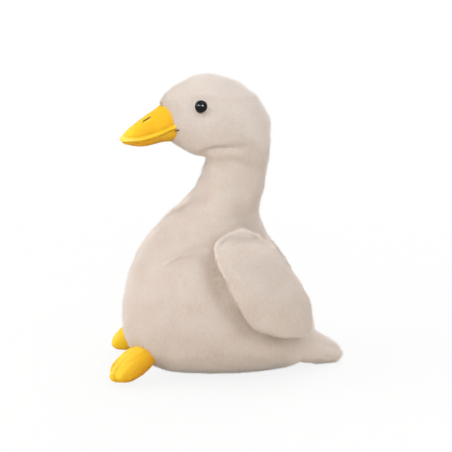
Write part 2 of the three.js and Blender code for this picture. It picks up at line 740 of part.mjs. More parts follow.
// Feet: pads open at the ankle, with two sewn grooves between the toes
for (const [side, name] of [[left, "left"], [right, "right"]]) {
  const form = footForm(side);
  const heel = box([-everywhere, -everywhere, -everywhere], [-footHem, everywhere, everywhere]);
  const heelCut = heel.transform(form.frame.elements);
  const outer = formSolid(form, coarse);
  const hollow = formSolid(form, { grow: -plushWall, rings: 7, sides: sidesFew });
  const core = formSolid(form, { grow: -plushWall - fillingGap, rings: 7, sides: sidesFew });
  add(`${name}_foot_skin`, without(outer, hollow, heelCut, ground), colours.yellow);
  add(`${name}_foot_filling`, core, colours.filling);
  const clear = formSolid(form, { grow: gap / 2, ...coarse });
  for (const [end, place] of [[-1, "first"], [1, "second"]]) {
    const across = end * toeGrooveShare * footWidth;
    const [low, high, half] = sectionAt(form, across);
    const lift = toeThread / 2 + 2 * gap;
    const points = [0.02, 0.1, 0.18, 0.26, 0.34].map((share) => {
      const angle = share * Math.PI;
      const forth = (low + high) / 2 + ((high - low) / 2 + lift) * Math.cos(angle);
      return new THREE.Vector3(forth, (half + lift) * Math.sin(angle), across).applyMatrix4(form.frame);
    });
    add(`${name}_${place}_toe_stitch`, without(thread(points, toeThread), clear), colours.orange);
  }
}

export default parts;
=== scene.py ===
"""A stuffed duck that sits on its belly: fur fabric over fibre filling, with a yellow plush bill and feet.

Metres in Blender, millimetres in the tables. The duck looks along -X, and its left side is at -Y.
"""
import logging
import math
from dataclasses import dataclass
from enum import Enum

import bpy
import numpy as np
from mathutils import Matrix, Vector


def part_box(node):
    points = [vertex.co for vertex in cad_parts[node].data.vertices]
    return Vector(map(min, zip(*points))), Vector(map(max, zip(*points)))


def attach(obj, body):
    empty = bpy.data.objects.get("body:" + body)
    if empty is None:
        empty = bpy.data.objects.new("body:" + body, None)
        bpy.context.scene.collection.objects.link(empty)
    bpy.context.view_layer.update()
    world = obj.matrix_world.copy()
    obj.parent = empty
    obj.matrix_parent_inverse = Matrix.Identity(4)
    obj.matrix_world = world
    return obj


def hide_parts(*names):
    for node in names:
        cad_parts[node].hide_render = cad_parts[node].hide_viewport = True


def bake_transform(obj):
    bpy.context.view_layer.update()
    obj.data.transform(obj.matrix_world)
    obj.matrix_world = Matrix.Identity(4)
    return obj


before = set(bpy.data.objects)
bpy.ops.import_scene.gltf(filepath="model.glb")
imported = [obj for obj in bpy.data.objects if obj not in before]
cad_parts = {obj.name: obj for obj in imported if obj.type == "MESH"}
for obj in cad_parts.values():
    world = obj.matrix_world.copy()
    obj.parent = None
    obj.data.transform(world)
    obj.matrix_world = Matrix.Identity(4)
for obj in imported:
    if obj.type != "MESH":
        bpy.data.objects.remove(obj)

LOG = logging.getLogger("duck")
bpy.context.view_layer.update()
MM = 0.001
GROUND = 0.8  # The lowest that cloth lies, in millimetres, so that the pile under it clears the floor
Array = np.ndarray
Rows = tuple[tuple[float, ...], ...]  # A form's sections: place along, low edge, high edge, half width, more
Place = tuple[float, float, float]
Materials = list[bpy.types.Material]


class Side(Enum):
    """The two sides of the duck, by the sign of their Y."""

    LEFT = -1
    RIGHT = 1

    @property
    def word(self) -> str:
        """The side's word in a piece's name."""
        return self.name.lower()

    def of(self, place: tuple[float, ...] | Array) -> Array:
        """A place or direction, given for the right side, on this side."""
        return np.array(place) * np.array([1, self.value, 1])


# Materials


def linear(code: str) -> tuple[float, float, float, float]:
    """Turns an sRGB hex colour into linear RGBA.

    Args:
        code: Six hex digits.

    Returns:
        Linear red, green and blue, and an alpha of one.
    """
    shares = np.array([int(code[k : k + 2], 16) / 255 for k in (0, 2, 4)])
    values = np.where(shares <= 0.04045, shares / 12.92, ((shares + 0.055) / 1.055) ** 2.4)
    return (*values.tolist(), 1.0)


def add_node(
    tree: bpy.types.NodeTree, kind: str, settings: dict | None = None, **inputs: object
) -> bpy.types.Node:
    """Adds a node with its settings and links.

    Args:
        tree: The node tree.
        kind: The node's type, without the words ShaderNode.
        settings: Values of the node's own properties.
        inputs: Values of sockets, or sockets to link, by name with _ for a space, or by i and a number.

    Returns:
        The new node.
    """
    node = tree.nodes.new(f"ShaderNode{kind}")
    for name, value in (settings or {}).items():
        setattr(node, name, value)
    for name, value in inputs.items():
        known = name.replace("_", " ")
        socket = node.inputs[int(name[1:])] if name[1:].isdigit() else node.inputs[known]
        if isinstance(value, bpy.types.NodeSocket):
            tree.links.new(value, socket)
        else:
            socket.default_value = value
    return node


def new_material(name: str) -> tuple[bpy.types.Material, bpy.types.NodeTree]:
    """Makes a material with no nodes in its tree yet.

    Args:
        name: The material's name.

    Returns:
        The material and its node tree.
    """
    material = bpy.data.materials.new(name)
    material.use_nodes = True
    tree = material.node_tree
    tree.nodes.clear()
    return material, tree


def set_ramp(node: bpy.types.Node, stops: list[tuple[float, str]]) -> None:
    """Sets a colour ramp's stops, each a place and a hex colour.

    Args:
        node: The colour ramp's node.
        stops: Places from 0 to 1 in order, each with a hex colour.
    """
    elements = node.color_ramp.elements
    while len(elements) < len(stops):
        elements.new(0.5)
    for element, (place, code) in zip(elements, stops):
        element.position = place
        element.color = linear(code)


@dataclass(frozen=True)
class PileFibre:
    """Acrylic pile, cut and brushed: soft matt fibres that shine a little where light grazes them."""

    name: str
    tones: tuple[str, ...]
    sheen: float = 0.5
    roughness: float = 0.85
    specular: float = 0.2

    def materials(self) -> Materials:
        """One material for each tone, with the same fibre finish.

        Returns:
            The materials, from deep to pale.
        """
        made = []
        for place, tone in enumerate(self.tones):
            material, tree = new_material(f"{self.name}_tone_{place + 1}")
            colour, sheen = linear(tone), self.sheen
            shader = add_node(
                tree, "BsdfPrincipled", Base_Color=colour, Roughness=self.roughness,
                Specular_IOR_Level=self.specular, Sheen_Weight=sheen, Sheen_Roughness=0.5,
            )
            add_node(tree, "OutputMaterial", Surface=shader.outputs["BSDF"])
            made.append(material)
        return made


@dataclass(frozen=True)
class KnitCloth:
    """A knitted cloth, dyed in the piece: its colour drifts softly and its loops break the light."""

    name: str
    pale: str
    deep: str
    drift_mm: float
    loop_mm: float
    roughness: float = 0.9
    sheen: float = 0.3
    specular: float = 0.2
    loop_height: float = 0.4

    def material(self) -> bpy.types.Material:
        """Blends two tones by slow noise and lifts the loops, by a share of their size, with fine noise.

        Returns:
            The material.
        """
        material, tree = new_material(self.name)
        place = add_node(tree, "TexCoord").outputs["Object"]
        drift = add_node(tree, "TexNoise", Vector=place, Scale=1 / (self.drift_mm * MM), Detail=3.0)
        loops = add_node(tree, "TexNoise", Vector=place, Scale=1 / (self.loop_mm * MM), Detail=2.0)
        ramp = add_node(tree, "ValToRGB", Fac=drift.outputs["Fac"])
        set_ramp(ramp, [(0.3, self.deep), (0.7, self.pale)])
        height = self.loop_mm * MM * self.loop_height
        bump = add_node(tree, "Bump", Strength=0.5, Distance=height, Height=loops.outputs["Fac"])
        shader = add_node(
            tree, "BsdfPrincipled", Base_Color=ramp.outputs["Color"], Roughness=self.roughness,
            Sheen_Weight=self.sheen, Specular_IOR_Level=self.specular, Normal=bump.outputs["Normal"],
        )
        add_node(tree, "OutputMaterial", Surface=shader.outputs["BSDF"])
        return material


@dataclass(frozen=True)
class PolyesterThread:
    """Twisted polyester thread: a tight yarn with a low shine along its plies."""

    name: str
    pale: str
    deep: str
    ply_mm: float = 0.35
    roughness: float = 0.55
    specular: float = 0.35

    def material(self) -> bpy.types.Material:
        """Streaks the yarn with fine noise and leaves it a low gloss.

        Returns:
            The material.
        """
        material, tree = new_material(self.name)
        place = add_node(tree, "TexCoord").outputs["Object"]
        streaks = add_node(tree, "TexNoise", Vector=place, Scale=1 / (self.ply_mm * MM), Detail=2.0)
        ramp = add_node(tree, "ValToRGB", Fac=streaks.outputs["Fac"])
        set_ramp(ramp, [(0.35, self.deep), (0.7, self.pale)])
        shader = add_node(
            tree, "BsdfPrincipled", Base_Color=ramp.outputs["Color"], Roughness=self.roughness,
            Specular_IOR_Level=self.specular,
        )
        add_node(tree, "OutputMaterial", Surface=shader.outputs["BSDF"])
        return material


@dataclass(frozen=True)
class MouldedPlastic:
    """Injection moulded plastic, polished or left as moulded: even colour with a faint ring at its rim."""

    name: str
    centre: str
    ring: str
    rim: str
    roughness: float
    specular: float
    grain_mm: float = 1.2
    unevenness: float = 0.2

    def material(self) -> bpy.types.Material:
        """Colours the piece by its own ring attribute and breaks the gloss a little with noise.

        Returns:
            The material.
        """
        least, most = (self.roughness * (1 + sign * self.unevenness) for sign in (-1, 1))
        material, tree = new_material(self.name)
        place = add_node(tree, "TexCoord").outputs["Object"]
        ring = add_node(tree, "Attribute", {"attribute_name": "ring"})
        ramp = add_node(tree, "ValToRGB", Fac=ring.outputs["Fac"])
        set_ramp(ramp, [(0.0, self.centre), (0.62, self.centre), (0.78, self.ring), (0.95, self.rim)])
        grain = add_node(tree, "TexNoise", Vector=place, Scale=1 / (self.grain_mm * MM), Detail=2.0)
        gloss = add_node(tree, "MapRange", Value=grain.outputs["Fac"], To_Min=least, To_Max=most)
        shader = add_node(
            tree, "BsdfPrincipled", Base_Color=ramp.outputs["Color"], Roughness=gloss.outputs["Result"],
            Specular_IOR_Level=self.specular,
        )
        add_node(tree, "OutputMaterial", Surface=shader.outputs["BSDF"])
        return material


# Shapes


def through(rows: Array, count: int) -> Array:
    """Runs a smooth line through rows of numbers and samples it evenly.

    The line is a cubic between neighbouring rows, with the slope at each row from the rows beside it,
    over knots that are the square roots of the distances (a centripetal Catmull-Rom line).

    Args:
        rows: One point for each row, in as many dimensions as a row has numbers.
        count: How many points come back.

    Returns:
        The sampled rows, evenly spaced along the line.
    """
    rows = np.asarray(rows, float)
    steps = np.linalg.norm(np.diff(rows, axis=0), axis=1) ** 0.5
    knots = np.concatenate([[0], np.cumsum(np.maximum(steps, 1e-6))])
    gaps = np.diff(knots)[:, None]
    slopes = np.diff(rows, axis=0) / gaps
    inner = (slopes[:-1] * gaps[1:] + slopes[1:] * gaps[:-1]) / (gaps[:-1] + gaps[1:])
    tangents = np.concatenate([slopes[:1], inner, slopes[-1:]])

    def at(places: Array) -> Array:
        """The line's points at places along its knots.

        Args:
            places: Places along the knots.

        Returns:
            One point for each place.
        """
        low = np.clip(np.searchsorted(knots, places, side="right") - 1, 0, len(rows) - 2)
        gap = gaps[low]
        t = ((places - knots[low])[:, None]) / gap
        t2, t3 = t * t, t * t * t
        return (
            rows[low] * (2 * t3 - 3 * t2 + 1)
            + rows[low + 1] * (3 * t2 - 2 * t3)
            + tangents[low] * (t3 - 2 * t2 + t) * gap
            + tangents[low + 1] * (t3 - t2) * gap
        )

    fine = np.linspace(0, knots[-1], 40 * len(rows))
    line = at(fine)
    length = np.concatenate([[0], np.cumsum(np.linalg.norm(np.diff(line, axis=0), axis=1))])
    return at(np.interp(np.linspace(0, length[-1], count), length, fine))


def rings(rows: Array, columns: int, keel: float = 0.5) -> Array:
    """Lays a closed ring at each row.

    A ring is a superellipse between a low and a high edge: at an angle a, its forward share is the
    cosine's and its sideways share the sine's absolute value to the power 2 / power, with their signs.
    The half width grows towards the high edge by the egg share.

    Args:
        rows: Columns for place along, low edge, high edge, half width, power, egg and side offset.
        columns: Points round each ring.
        keel: Where between the edges the widest line lies.

    Returns:
        Points with axes (across the ring from low to high, sideways, along), ring by ring.
    """
    along, low, high, half, power, egg, offset = (rows[:, k : k + 1] for k in range(7))
    angle = np.arange(columns)[None, :] * 2 * np.pi / columns
    forth = np.sign(np.cos(angle)) * np.abs(np.cos(angle)) ** (2 / power)
    across = np.sign(np.sin(angle)) * np.abs(np.sin(angle)) ** (2 / power)
    centre = low + (high - low) * keel
    reach = np.where(forth > 0, high - centre, centre - low)
    first = centre + forth * reach
    second = offset + across * np.maximum(half, 0) * (1 + egg * forth)
    return np.stack([first, second, np.broadcast_to(along, first.shape)], axis=-1)


def table(rows: Rows) -> Array:
    """Fills rows of four or five numbers up to the seven that rings() reads, for plain ellipses."""
    power, egg = 2.0, 0.0
    return np.array([(*row[:4], power, egg, row[4] if len(row) > 4 else 0.0) for row in rows], float)


def rise(values: Array, start: float, span: float) -> Array:
    """A share that rises evenly from 0 at a start to 1 a span further on."""
    return np.clip((values - start) / span, 0, 1)


def fall(values: Array, end: float, span: float) -> Array:
    """A share that falls evenly from 1, a span before an end, to 0 at the end."""
    return np.clip((end - values) / span, 0, 1)


def bell(values: Array, middle: float, width: float) -> Array:
    """A bell curve of values: exp(-((value - middle) / width)^2)."""
    return np.exp(-(((values - middle) / width) ** 2))


def unit(vectors: Array) -> Array:
    """Vectors scaled to a length of one."""
    return vectors / np.maximum(np.linalg.norm(vectors, axis=-1, keepdims=True), 1e-9)


def grid_normals(grid: Array, inside: Array) -> Array:
    """Unit normals of a ring grid, from the cross product of its two tangents.

    An end ring that has closed to a point takes the mean normal of the ring beside it.

    Args:
        grid: Points, ring by ring.
        inside: A point inside the form, from which the normals point away on average.

    Returns:
        One unit vector for each point.
    """
    closed = 0.05
    about = np.roll(grid, -1, axis=1) - np.roll(grid, 1, axis=1)
    normals = unit(np.cross(about, np.gradient(grid, axis=0)))
    for end, beside in ((0, 1), (-1, -2)):
        if np.ptp(grid[end], axis=0).max() < closed:
            normals[end] = unit(normals[beside].mean(axis=0))
    sign = np.sign(np.sum(normals * (grid - inside)))
    return normals * (sign or 1.0)


def waves(points: Array, size: float, seed: int) -> Array:
    """Smooth noise: the sum of sine waves in random directions, with wavelengths near a size.

    Args:
        points: Any array of points, in millimetres.
        size: The typical wavelength in millimetres.
        seed: The seed of the directions and phases.

    Returns:
        Values between about -1 and 1, one for each point.
    """
    count = 9
    chance = np.random.default_rng(seed)
    directions = chance.normal(size=(count, 3))
    directions /= np.linalg.norm(directions, axis=1, keepdims=True)
    directions *= 2 * np.pi / (size * chance.uniform(0.7, 1.5, (count, 1)))
    phases = chance.uniform(0, 2 * np.pi, count)
    return np.sin(points @ directions.T + phases).sum(axis=-1) / math.sqrt(count) * 0.8


class Noise(Enum):
    """Each smooth noise on the duck: its wavelength in millimetres and its seed."""

    PILE_LIE = (34, 11)
    PILE_LENGTH = (20, 7)
    PILE_TUFTS = (13, 21)
    PILE_TONE = (30, 31)
    BODY_LUMPS = (46, 3)
    SMALL_LUMPS = (21, 4)
    UPPER_BILL = (17, 41)
    LOWER_BILL = (15, 43)
    TAIL = (24, 51)
    WING = (38, 80)
    FOOT = (16, 91)

    def at(self, points: Array, step: int = 0) -> Array:
        """The noise at points, with its seed a step further on."""
        size, seed = self.value
        return waves(points, size, seed + step)

    def along_axes(self, points: Array) -> Array:
        """The noise in three directions, from three seeds in a row."""
        return np.stack([self.at(points, k) for k in range(3)], axis=1)


def crease(points: Array, path: Array, depth: float, width: float) -> Array:
    """How far a sewn or folded crease pulls points in.

    The pull is a bell curve of the distance to a line through points, and it fades where a point of the
    path carries a lower share of the depth.

    Args:
        points: Points in millimetres.
        path: Rows of x, y, z and a share of the depth.
        depth: The pull on the line, in millimetres.
        width: The bell's width, in millimetres.

    Returns:
        The pull at each point, in millimetres.
    """
    line = through(path, 24)
    flat = points.reshape(-1, 3)
    away = squared_distances(flat, line[:, :3])
    near = away.argmin(axis=1)
    closest = away[np.arange(len(flat)), near]
    pull = depth * np.clip(line[near, 3], 0, 1) * np.exp(-closest / width**2)
    return pull.reshape(points.shape[:-1])


def squared_distances(points: Array, others: Array) -> Array:
    """The squared distance from each point to each other point: |p|^2 + |q|^2 - 2 p.q."""
    return np.sum(points**2, axis=1)[:, None] + np.sum(others**2, axis=1) - 2 * points @ others.T


@dataclass(frozen=True)
class Axes:
    """A piece's own frame: an origin in millimetres and the directions of its three axes."""

    origin: Place
    first: Place
    second: Place
    third: Place

    def place(self, points: Array) -> Array:
        """Moves points from the piece's own axes into the duck's."""
        return points @ np.array([self.first, self.second, self.third]) + np.array(self.origin)


@dataclass
class Shell:
    """A closed mesh in the making: its points in millimetres, four-sided faces and triangles."""

    points: Array
    quads: Array
    triangles: Array

    @classmethod
    def of(cls, grid: Array) -> "Shell":
        """Closes a ring grid with a point in the middle of each end.

        Args:
            grid: Points, ring by ring.

        Returns:
            The shell, with its faces turned outwards.
        """
        count, columns = grid.shape[:2]
        points = np.concatenate([grid.reshape(-1, 3), [grid[0].mean(axis=0)], [grid[-1].mean(axis=0)]])
        ring = np.arange(columns)
        after = (ring + 1) % columns
        start = np.arange(count - 1)[:, None] * columns
        quads = np.stack(
            [start + ring, start + after, start + after + columns, start + ring + columns], axis=-1
        ).reshape(-1, 4)
        low, high = count * columns, count * columns + 1
        top = (count - 1) * columns
        fans = [
            np.stack([np.full(columns, low), after, ring], axis=-1),
            np.stack([np.full(columns, high), top + ring, top + after], axis=-1),
        ]
        shell = cls(points, quads, np.concatenate(fans))
        return shell if shell.volume() > 0 else shell.flipped()

    def corners(self) -> Array:
        """Every face as triangles."""
        return np.concatenate([self.quads[:, [0, 1, 2]], self.quads[:, [0, 2, 3]], self.triangles])

    def volume(self) -> float:
        """The signed volume inside the faces, from the tetrahedra between each face and the origin."""
        a, b, c = (self.points[self.corners()[:, k]] for k in range(3))
        return float(np.einsum("ij,ij->i", a, np.cross(b, c)).sum() / 6)

    def normals(self) -> Array:
        """A unit normal at each point: the mean of the faces round it, weighted by their area.

        Returns:
            One unit vector for each point.
        """
        corners = self.corners()
        a, b, c = (self.points[corners[:, k]] for k in range(3))
        facing = np.repeat(np.cross(b - a, c - a), 3, axis=0)
        total = [np.bincount(corners.ravel(), facing[:, k], len(self.points)) for k in range(3)]
        return unit(np.stack(total, axis=1))

    def flipped(self) -> "Shell":
        """The same shell with every face turned over."""
        return Shell(self.points, self.quads[:, ::-1], self.triangles[:, ::-1])

    def build(self, name: str) -> bpy.types.Object:
        """Makes the Blender object, smooth-shaded, in metres.

        Args:
            name: The object's name.

        Returns:
            The object, linked to the scene.
        """
        mesh = bpy.data.meshes.new(name)
        faces = self.quads.tolist() + self.triangles.tolist()
        mesh.from_pydata((self.points * MM).tolist(), [], faces)
        mesh.shade_smooth()
        thing = bpy.data.objects.new(name, mesh)
        bpy.context.collection.objects.link(thing)
        return thing


def tube(path: Array, radius: float, twists: float) -> Array:
    """Carries a two-ply section along a path.

    The radius swells twice round the section, and the swelling turns along the path like twisted plies.
    At a share s of the path it is scaled by the square root of 1 - (2s - 1)^12, which rounds the ends.

    Args:
        path: Points in millimetres.
        radius: The thread's radius in millimetres.
        twists: Turns of the plies over the path.

    Returns:
        A ring grid.
    """
    sides, steps = 12, 48
    unlike_any_heading = [0.3, 0.2, 0.93]
    line = through(path, steps)
    heading = unit(np.gradient(line, axis=0))
    side = unit(np.cross(heading, unlike_any_heading))
    other = np.cross(heading, side)
    angle = np.arange(sides)[None, :] * 2 * np.pi / sides
    share = np.linspace(0, 1, len(line))[:, None]
    swell = 0.84 + 0.16 * np.abs(np.cos(angle - share * twists * 2 * np.pi))
    narrow = np.sqrt(np.clip(1 - (2 * share - 1) ** 12, 0.02, 1))
    reach = (radius * swell * narrow)[..., None]
    spoke = np.cos(angle)[..., None] * side[:, None] + np.sin(angle)[..., None] * other[:, None]
    return line[:, None] + reach * spoke


def cloth_points(bag: bpy.types.Object) -> tuple[Array, bpy.types.Mesh]:
    """The points of an object with its modifiers worked out, in millimetres, and the mesh itself.

    Args:
        bag: The object.

    Returns:
        The points and the new mesh.
    """
    graph = bpy.context.evaluated_depsgraph_get()
    mesh = bpy.data.meshes.new_from_object(bag.evaluated_get(graph))
    places = np.empty(len(mesh.vertices) * 3, np.float32)
    mesh.vertices.foreach_get("co", places)
    return places.reshape(-1, 3).astype(float) / MM, mesh


def stuffed(grid: Array, slack: float, voxel: float) -> Array:
    """Stuffs a sewn bag: swells a ring grid the way a cloth simulation does.

    The closed bag is remeshed in even squares and swells as cloth under pressure, without weight, for
    twenty steps. The swell s of a grid point is the outward move of the four nearest cloth points,
    weighted by one over their distance, less the mean and as a share of it, plus one: between 0 and 2,
    and smoothed over the grid. The point moves out by slack * (1 - give + give * s).

    Args:
        grid: The bag's ring grid, cut smaller than the stuffed form.
        slack: How far the stuffing pushes the cloth out on average, in millimetres.
        voxel: The size of the cloth's squares in millimetres.

    Returns:
        The ring grid of the stuffed bag.
    """
    give, steps, neighbours, passes = 0.6, 20, 4, 6
    batch, softening, least_mean = 24000, 0.5, 0.05
    normals = grid_normals(grid, grid.reshape(-1, 3).mean(axis=0))
    bag = Shell.of(grid).build("bag")
    squares = bag.modifiers.new("squares", "REMESH")
    squares.mode = "VOXEL"
    squares.voxel_size = voxel * MM
    still, bag.data = cloth_points(bag)
    bag.modifiers.clear()
    cloth = bag.modifiers.new("cloth", "CLOTH")
    cloth.settings.use_pressure = True
    cloth.settings.uniform_pressure_force = 4.0
    cloth.settings.effector_weights.gravity = 0.0
    cloth.point_cache.frame_start = 1
    cloth.point_cache.frame_end = steps
    for step in range(1, steps + 1):
        bpy.context.scene.frame_set(step)
    move = cloth_points(bag)[0] - still
    bpy.context.scene.frame_set(1)
    bpy.data.objects.remove(bag)
    moves = []
    for part in np.array_split(grid.reshape(-1, 3), math.ceil(grid.size / batch)):
        away = squared_distances(part, still)
        near = np.argpartition(away, neighbours, axis=1)[:, :neighbours]
        weight = 1 / (np.sqrt(np.maximum(np.take_along_axis(away, near, axis=1), 0)) + softening)
        moves.append(np.sum(move[near] * weight[..., None], axis=1) / weight.sum(axis=1)[:, None])
    out = np.sum(np.concatenate(moves).reshape(grid.shape) * normals, axis=-1)
    mean = out.mean()
    swell = np.clip(1 + (out - mean) / max(mean, least_mean), 0, 2)
    for _ in range(passes):
        swell = (np.roll(swell, 1, axis=1) + np.roll(swell, -1, axis=1) + 2 * swell) / 4
        swell[1:-1] = (swell[:-2] + swell[2:] + 2 * swell[1:-1]) / 4
        swell[0], swell[-1] = swell[1].mean(), swell[-2].mean()
    LOG.info("stuffed a bag of %d cloth points: mean move %.2f mm", len(still), mean)
    return grid + normals * (slack * (1 - give + give * swell))[..., None]


def sewn_bag(outline: Array, inside: Array, depth: Array | float, slack: float, voxel: float) -> Array:
    """Cuts a bag's pattern inside an outline, by a depth along the normals, and stuffs it.

    Args:
        outline: The ring grid of the stuffed form with its pile.
        inside: A point inside the form.
        depth: How deep the pattern lies under the outline, in millimetres.
        slack: How far the stuffing pushes the cloth out again on average.
        voxel: The size of the simulated cloth's squares.

    Returns:
        The ring grid of the stuffed bag.
    """
    pattern = outline - grid_normals(outline, inside) * np.asarray(depth)[..., None]
    return stuffed(pattern, slack, voxel)


def on_ground(grid: Array) -> Array:
    """A ring grid with what would sink under the cloth's lowest place lifted to it."""
    grid[..., 2] = np.maximum(grid[..., 2], GROUND)
    return grid


# Pile


@dataclass(frozen=True)
class Ride:
    """How a piece moves: with one body; where a next body is given, its transform is only baked in."""

    body: str
    next_body: str = ""
    start: Place = (0.0, 0.0, 0.0)
    end: Place = (0.0, 0.0, 0.0)

    def apply(self, thing: bpy.types.Object) -> None:
        """Attaches a finished piece to its body, or, where it has a next body, only bakes its transform in.

        Args:
            thing: The piece.
        """
        if self.next_body:
            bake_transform(thing)
        else:
            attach(thing, self.body)


@dataclass(frozen=True)
class Pile:
    """A pile of tapered strands on a skin, with its sizes in millimetres.

    Attributes:
        length: A strand's length.
        width: Its width at the root.
        density: Strands for each square millimetre.
        lean: How far the root half and the tip half lean from the normal, in degrees.
        clump: The size of a tuft, and how strongly its tips draw together.
        stray: How far single strands turn away from their neighbours.
        mottle: How far single strands differ in tone.
        fine: Whether a strand is a single triangle.
        swirl: How far the lie turns slowly from place to place.
        uneven: How far single strands differ in length, as a share of it.
        sway: How far single strands differ in lean, in degrees.
        twist: How far a strand's flat side turns away from the skin.
    """

    length: float
    width: float
    density: float
    lean: tuple[float, float]
    clump: tuple[float, float]
    stray: float
    mottle: float = 0.09
    fine: bool = False
    swirl: float = 0.14
    uneven: float = 0.1
    sway: float = 9.0
    twist: float = 0.08


MOST_STRANDS = 64000  # In one piece, or three times as many where a strand is a single triangle
STRAND_FLOOR = 0.35  # The lowest that a strand bends to, in millimetres
FUR = {
    "top_pile": Pile(5.9, 0.5, 1.2, lean=(60.0, 76.0), clump=(3.0, 0.05), stray=0.25),
    "under_pile": Pile(5.0, 0.62, 3.1, lean=(68.0, 68.0), clump=(2.4, 0.0), stray=0.25, fine=True),
    "loose_hairs": Pile(6.6, 0.34, 0.2, lean=(40.0, 60.0), clump=(3.0, 0.0), stray=0.35, fine=True),
}
NAP = Pile(1.5, 0.6, 6.0, lean=(56.0, 56.0), clump=(2.2, 0.0), stray=0.3, mottle=0.05, fine=True)


@dataclass
class Roots:
    """Where strands start on a skin: points and normals in millimetres."""

    points: Array
    normals: Array

    @classmethod
    def on(cls, shell: Shell, density: float, seed: int) -> "Roots":
        """Scatters roots evenly over a skin's faces.

        A triangle gets roots in proportion to its area, each at random weights of its corners.

        Args:
            shell: The skin's faces.
            density: Roots for each square millimetre.
            seed: The seed of the scatter.

        Returns:
            The roots.
        """
        corners = shell.corners()
        normals = shell.normals()
        a, b, c = (shell.points[corners[:, k]] for k in range(3))
        areas = np.linalg.norm(np.cross(b - a, c - a), axis=1) / 2
        chance = np.random.default_rng(seed)
        total = int(areas.sum() * density)
        chosen = chance.choice(len(corners), total, p=areas / areas.sum())
        first, second = chance.random(total), chance.random(total)
        over = first + second > 1
        first[over], second[over] = 1 - first[over], 1 - second[over]
        weights = np.stack([1 - first - second, first, second], axis=1)[..., None]
        points = (shell.points[corners[chosen]] * weights).sum(axis=1)
        return cls(points, unit((normals[corners[chosen]] * weights).sum(axis=1)))

    def where(self, keep: Array) -> "Roots":
        """The roots for which a condition holds."""
        return Roots(self.points[keep], self.normals[keep])

    def lying(self, *direction: float) -> Array:
        """The same direction at every root."""
        return np.broadcast_to(np.array(direction), self.points.shape)

    def eased(self) -> "Roots":
        """The roots with their normals turned where a sewn-on part meets the torso, so that no step shows.

        Round the tail's root they turn towards the way out from the line through the rump and the tail.
        The share is 0.75 exp(-(d / 15)^2) at a distance d from where the two meet, and fades out above
        them. Along the wings' shoulder seams they turn up to 0.85 of the way to the torso's own flank.

        Returns:
            The same roots with new normals.
        """
        rump, tail_tip = np.array([56.0, 0.0, 34.0]), np.array([132.0, 0.0, 14.0])
        line = tail_tip - rump
        place = np.clip((self.points - rump) @ line / (line @ line), 0, 1)[:, None]
        out = unit(self.points - rump - place * line)
        x, y, z = self.points.T
        share = 0.75 * bell(x, 90, 15) * fall(z, 66, 16)
        turned = unit(self.normals * (1 - share[:, None]) + out * share[:, None])
        flank = unit(np.stack([0.1 * x, y, np.full(len(x), 30.0)], axis=1))
        share = 0.85 * rise(z, 146, 18) * fall(z, 190, 8)
        share *= rise(np.abs(y), 40, 14) * rise(x, -34, 12)
        return Roots(self.points, unit(turned * (1 - share[:, None]) + flank * share[:, None]))


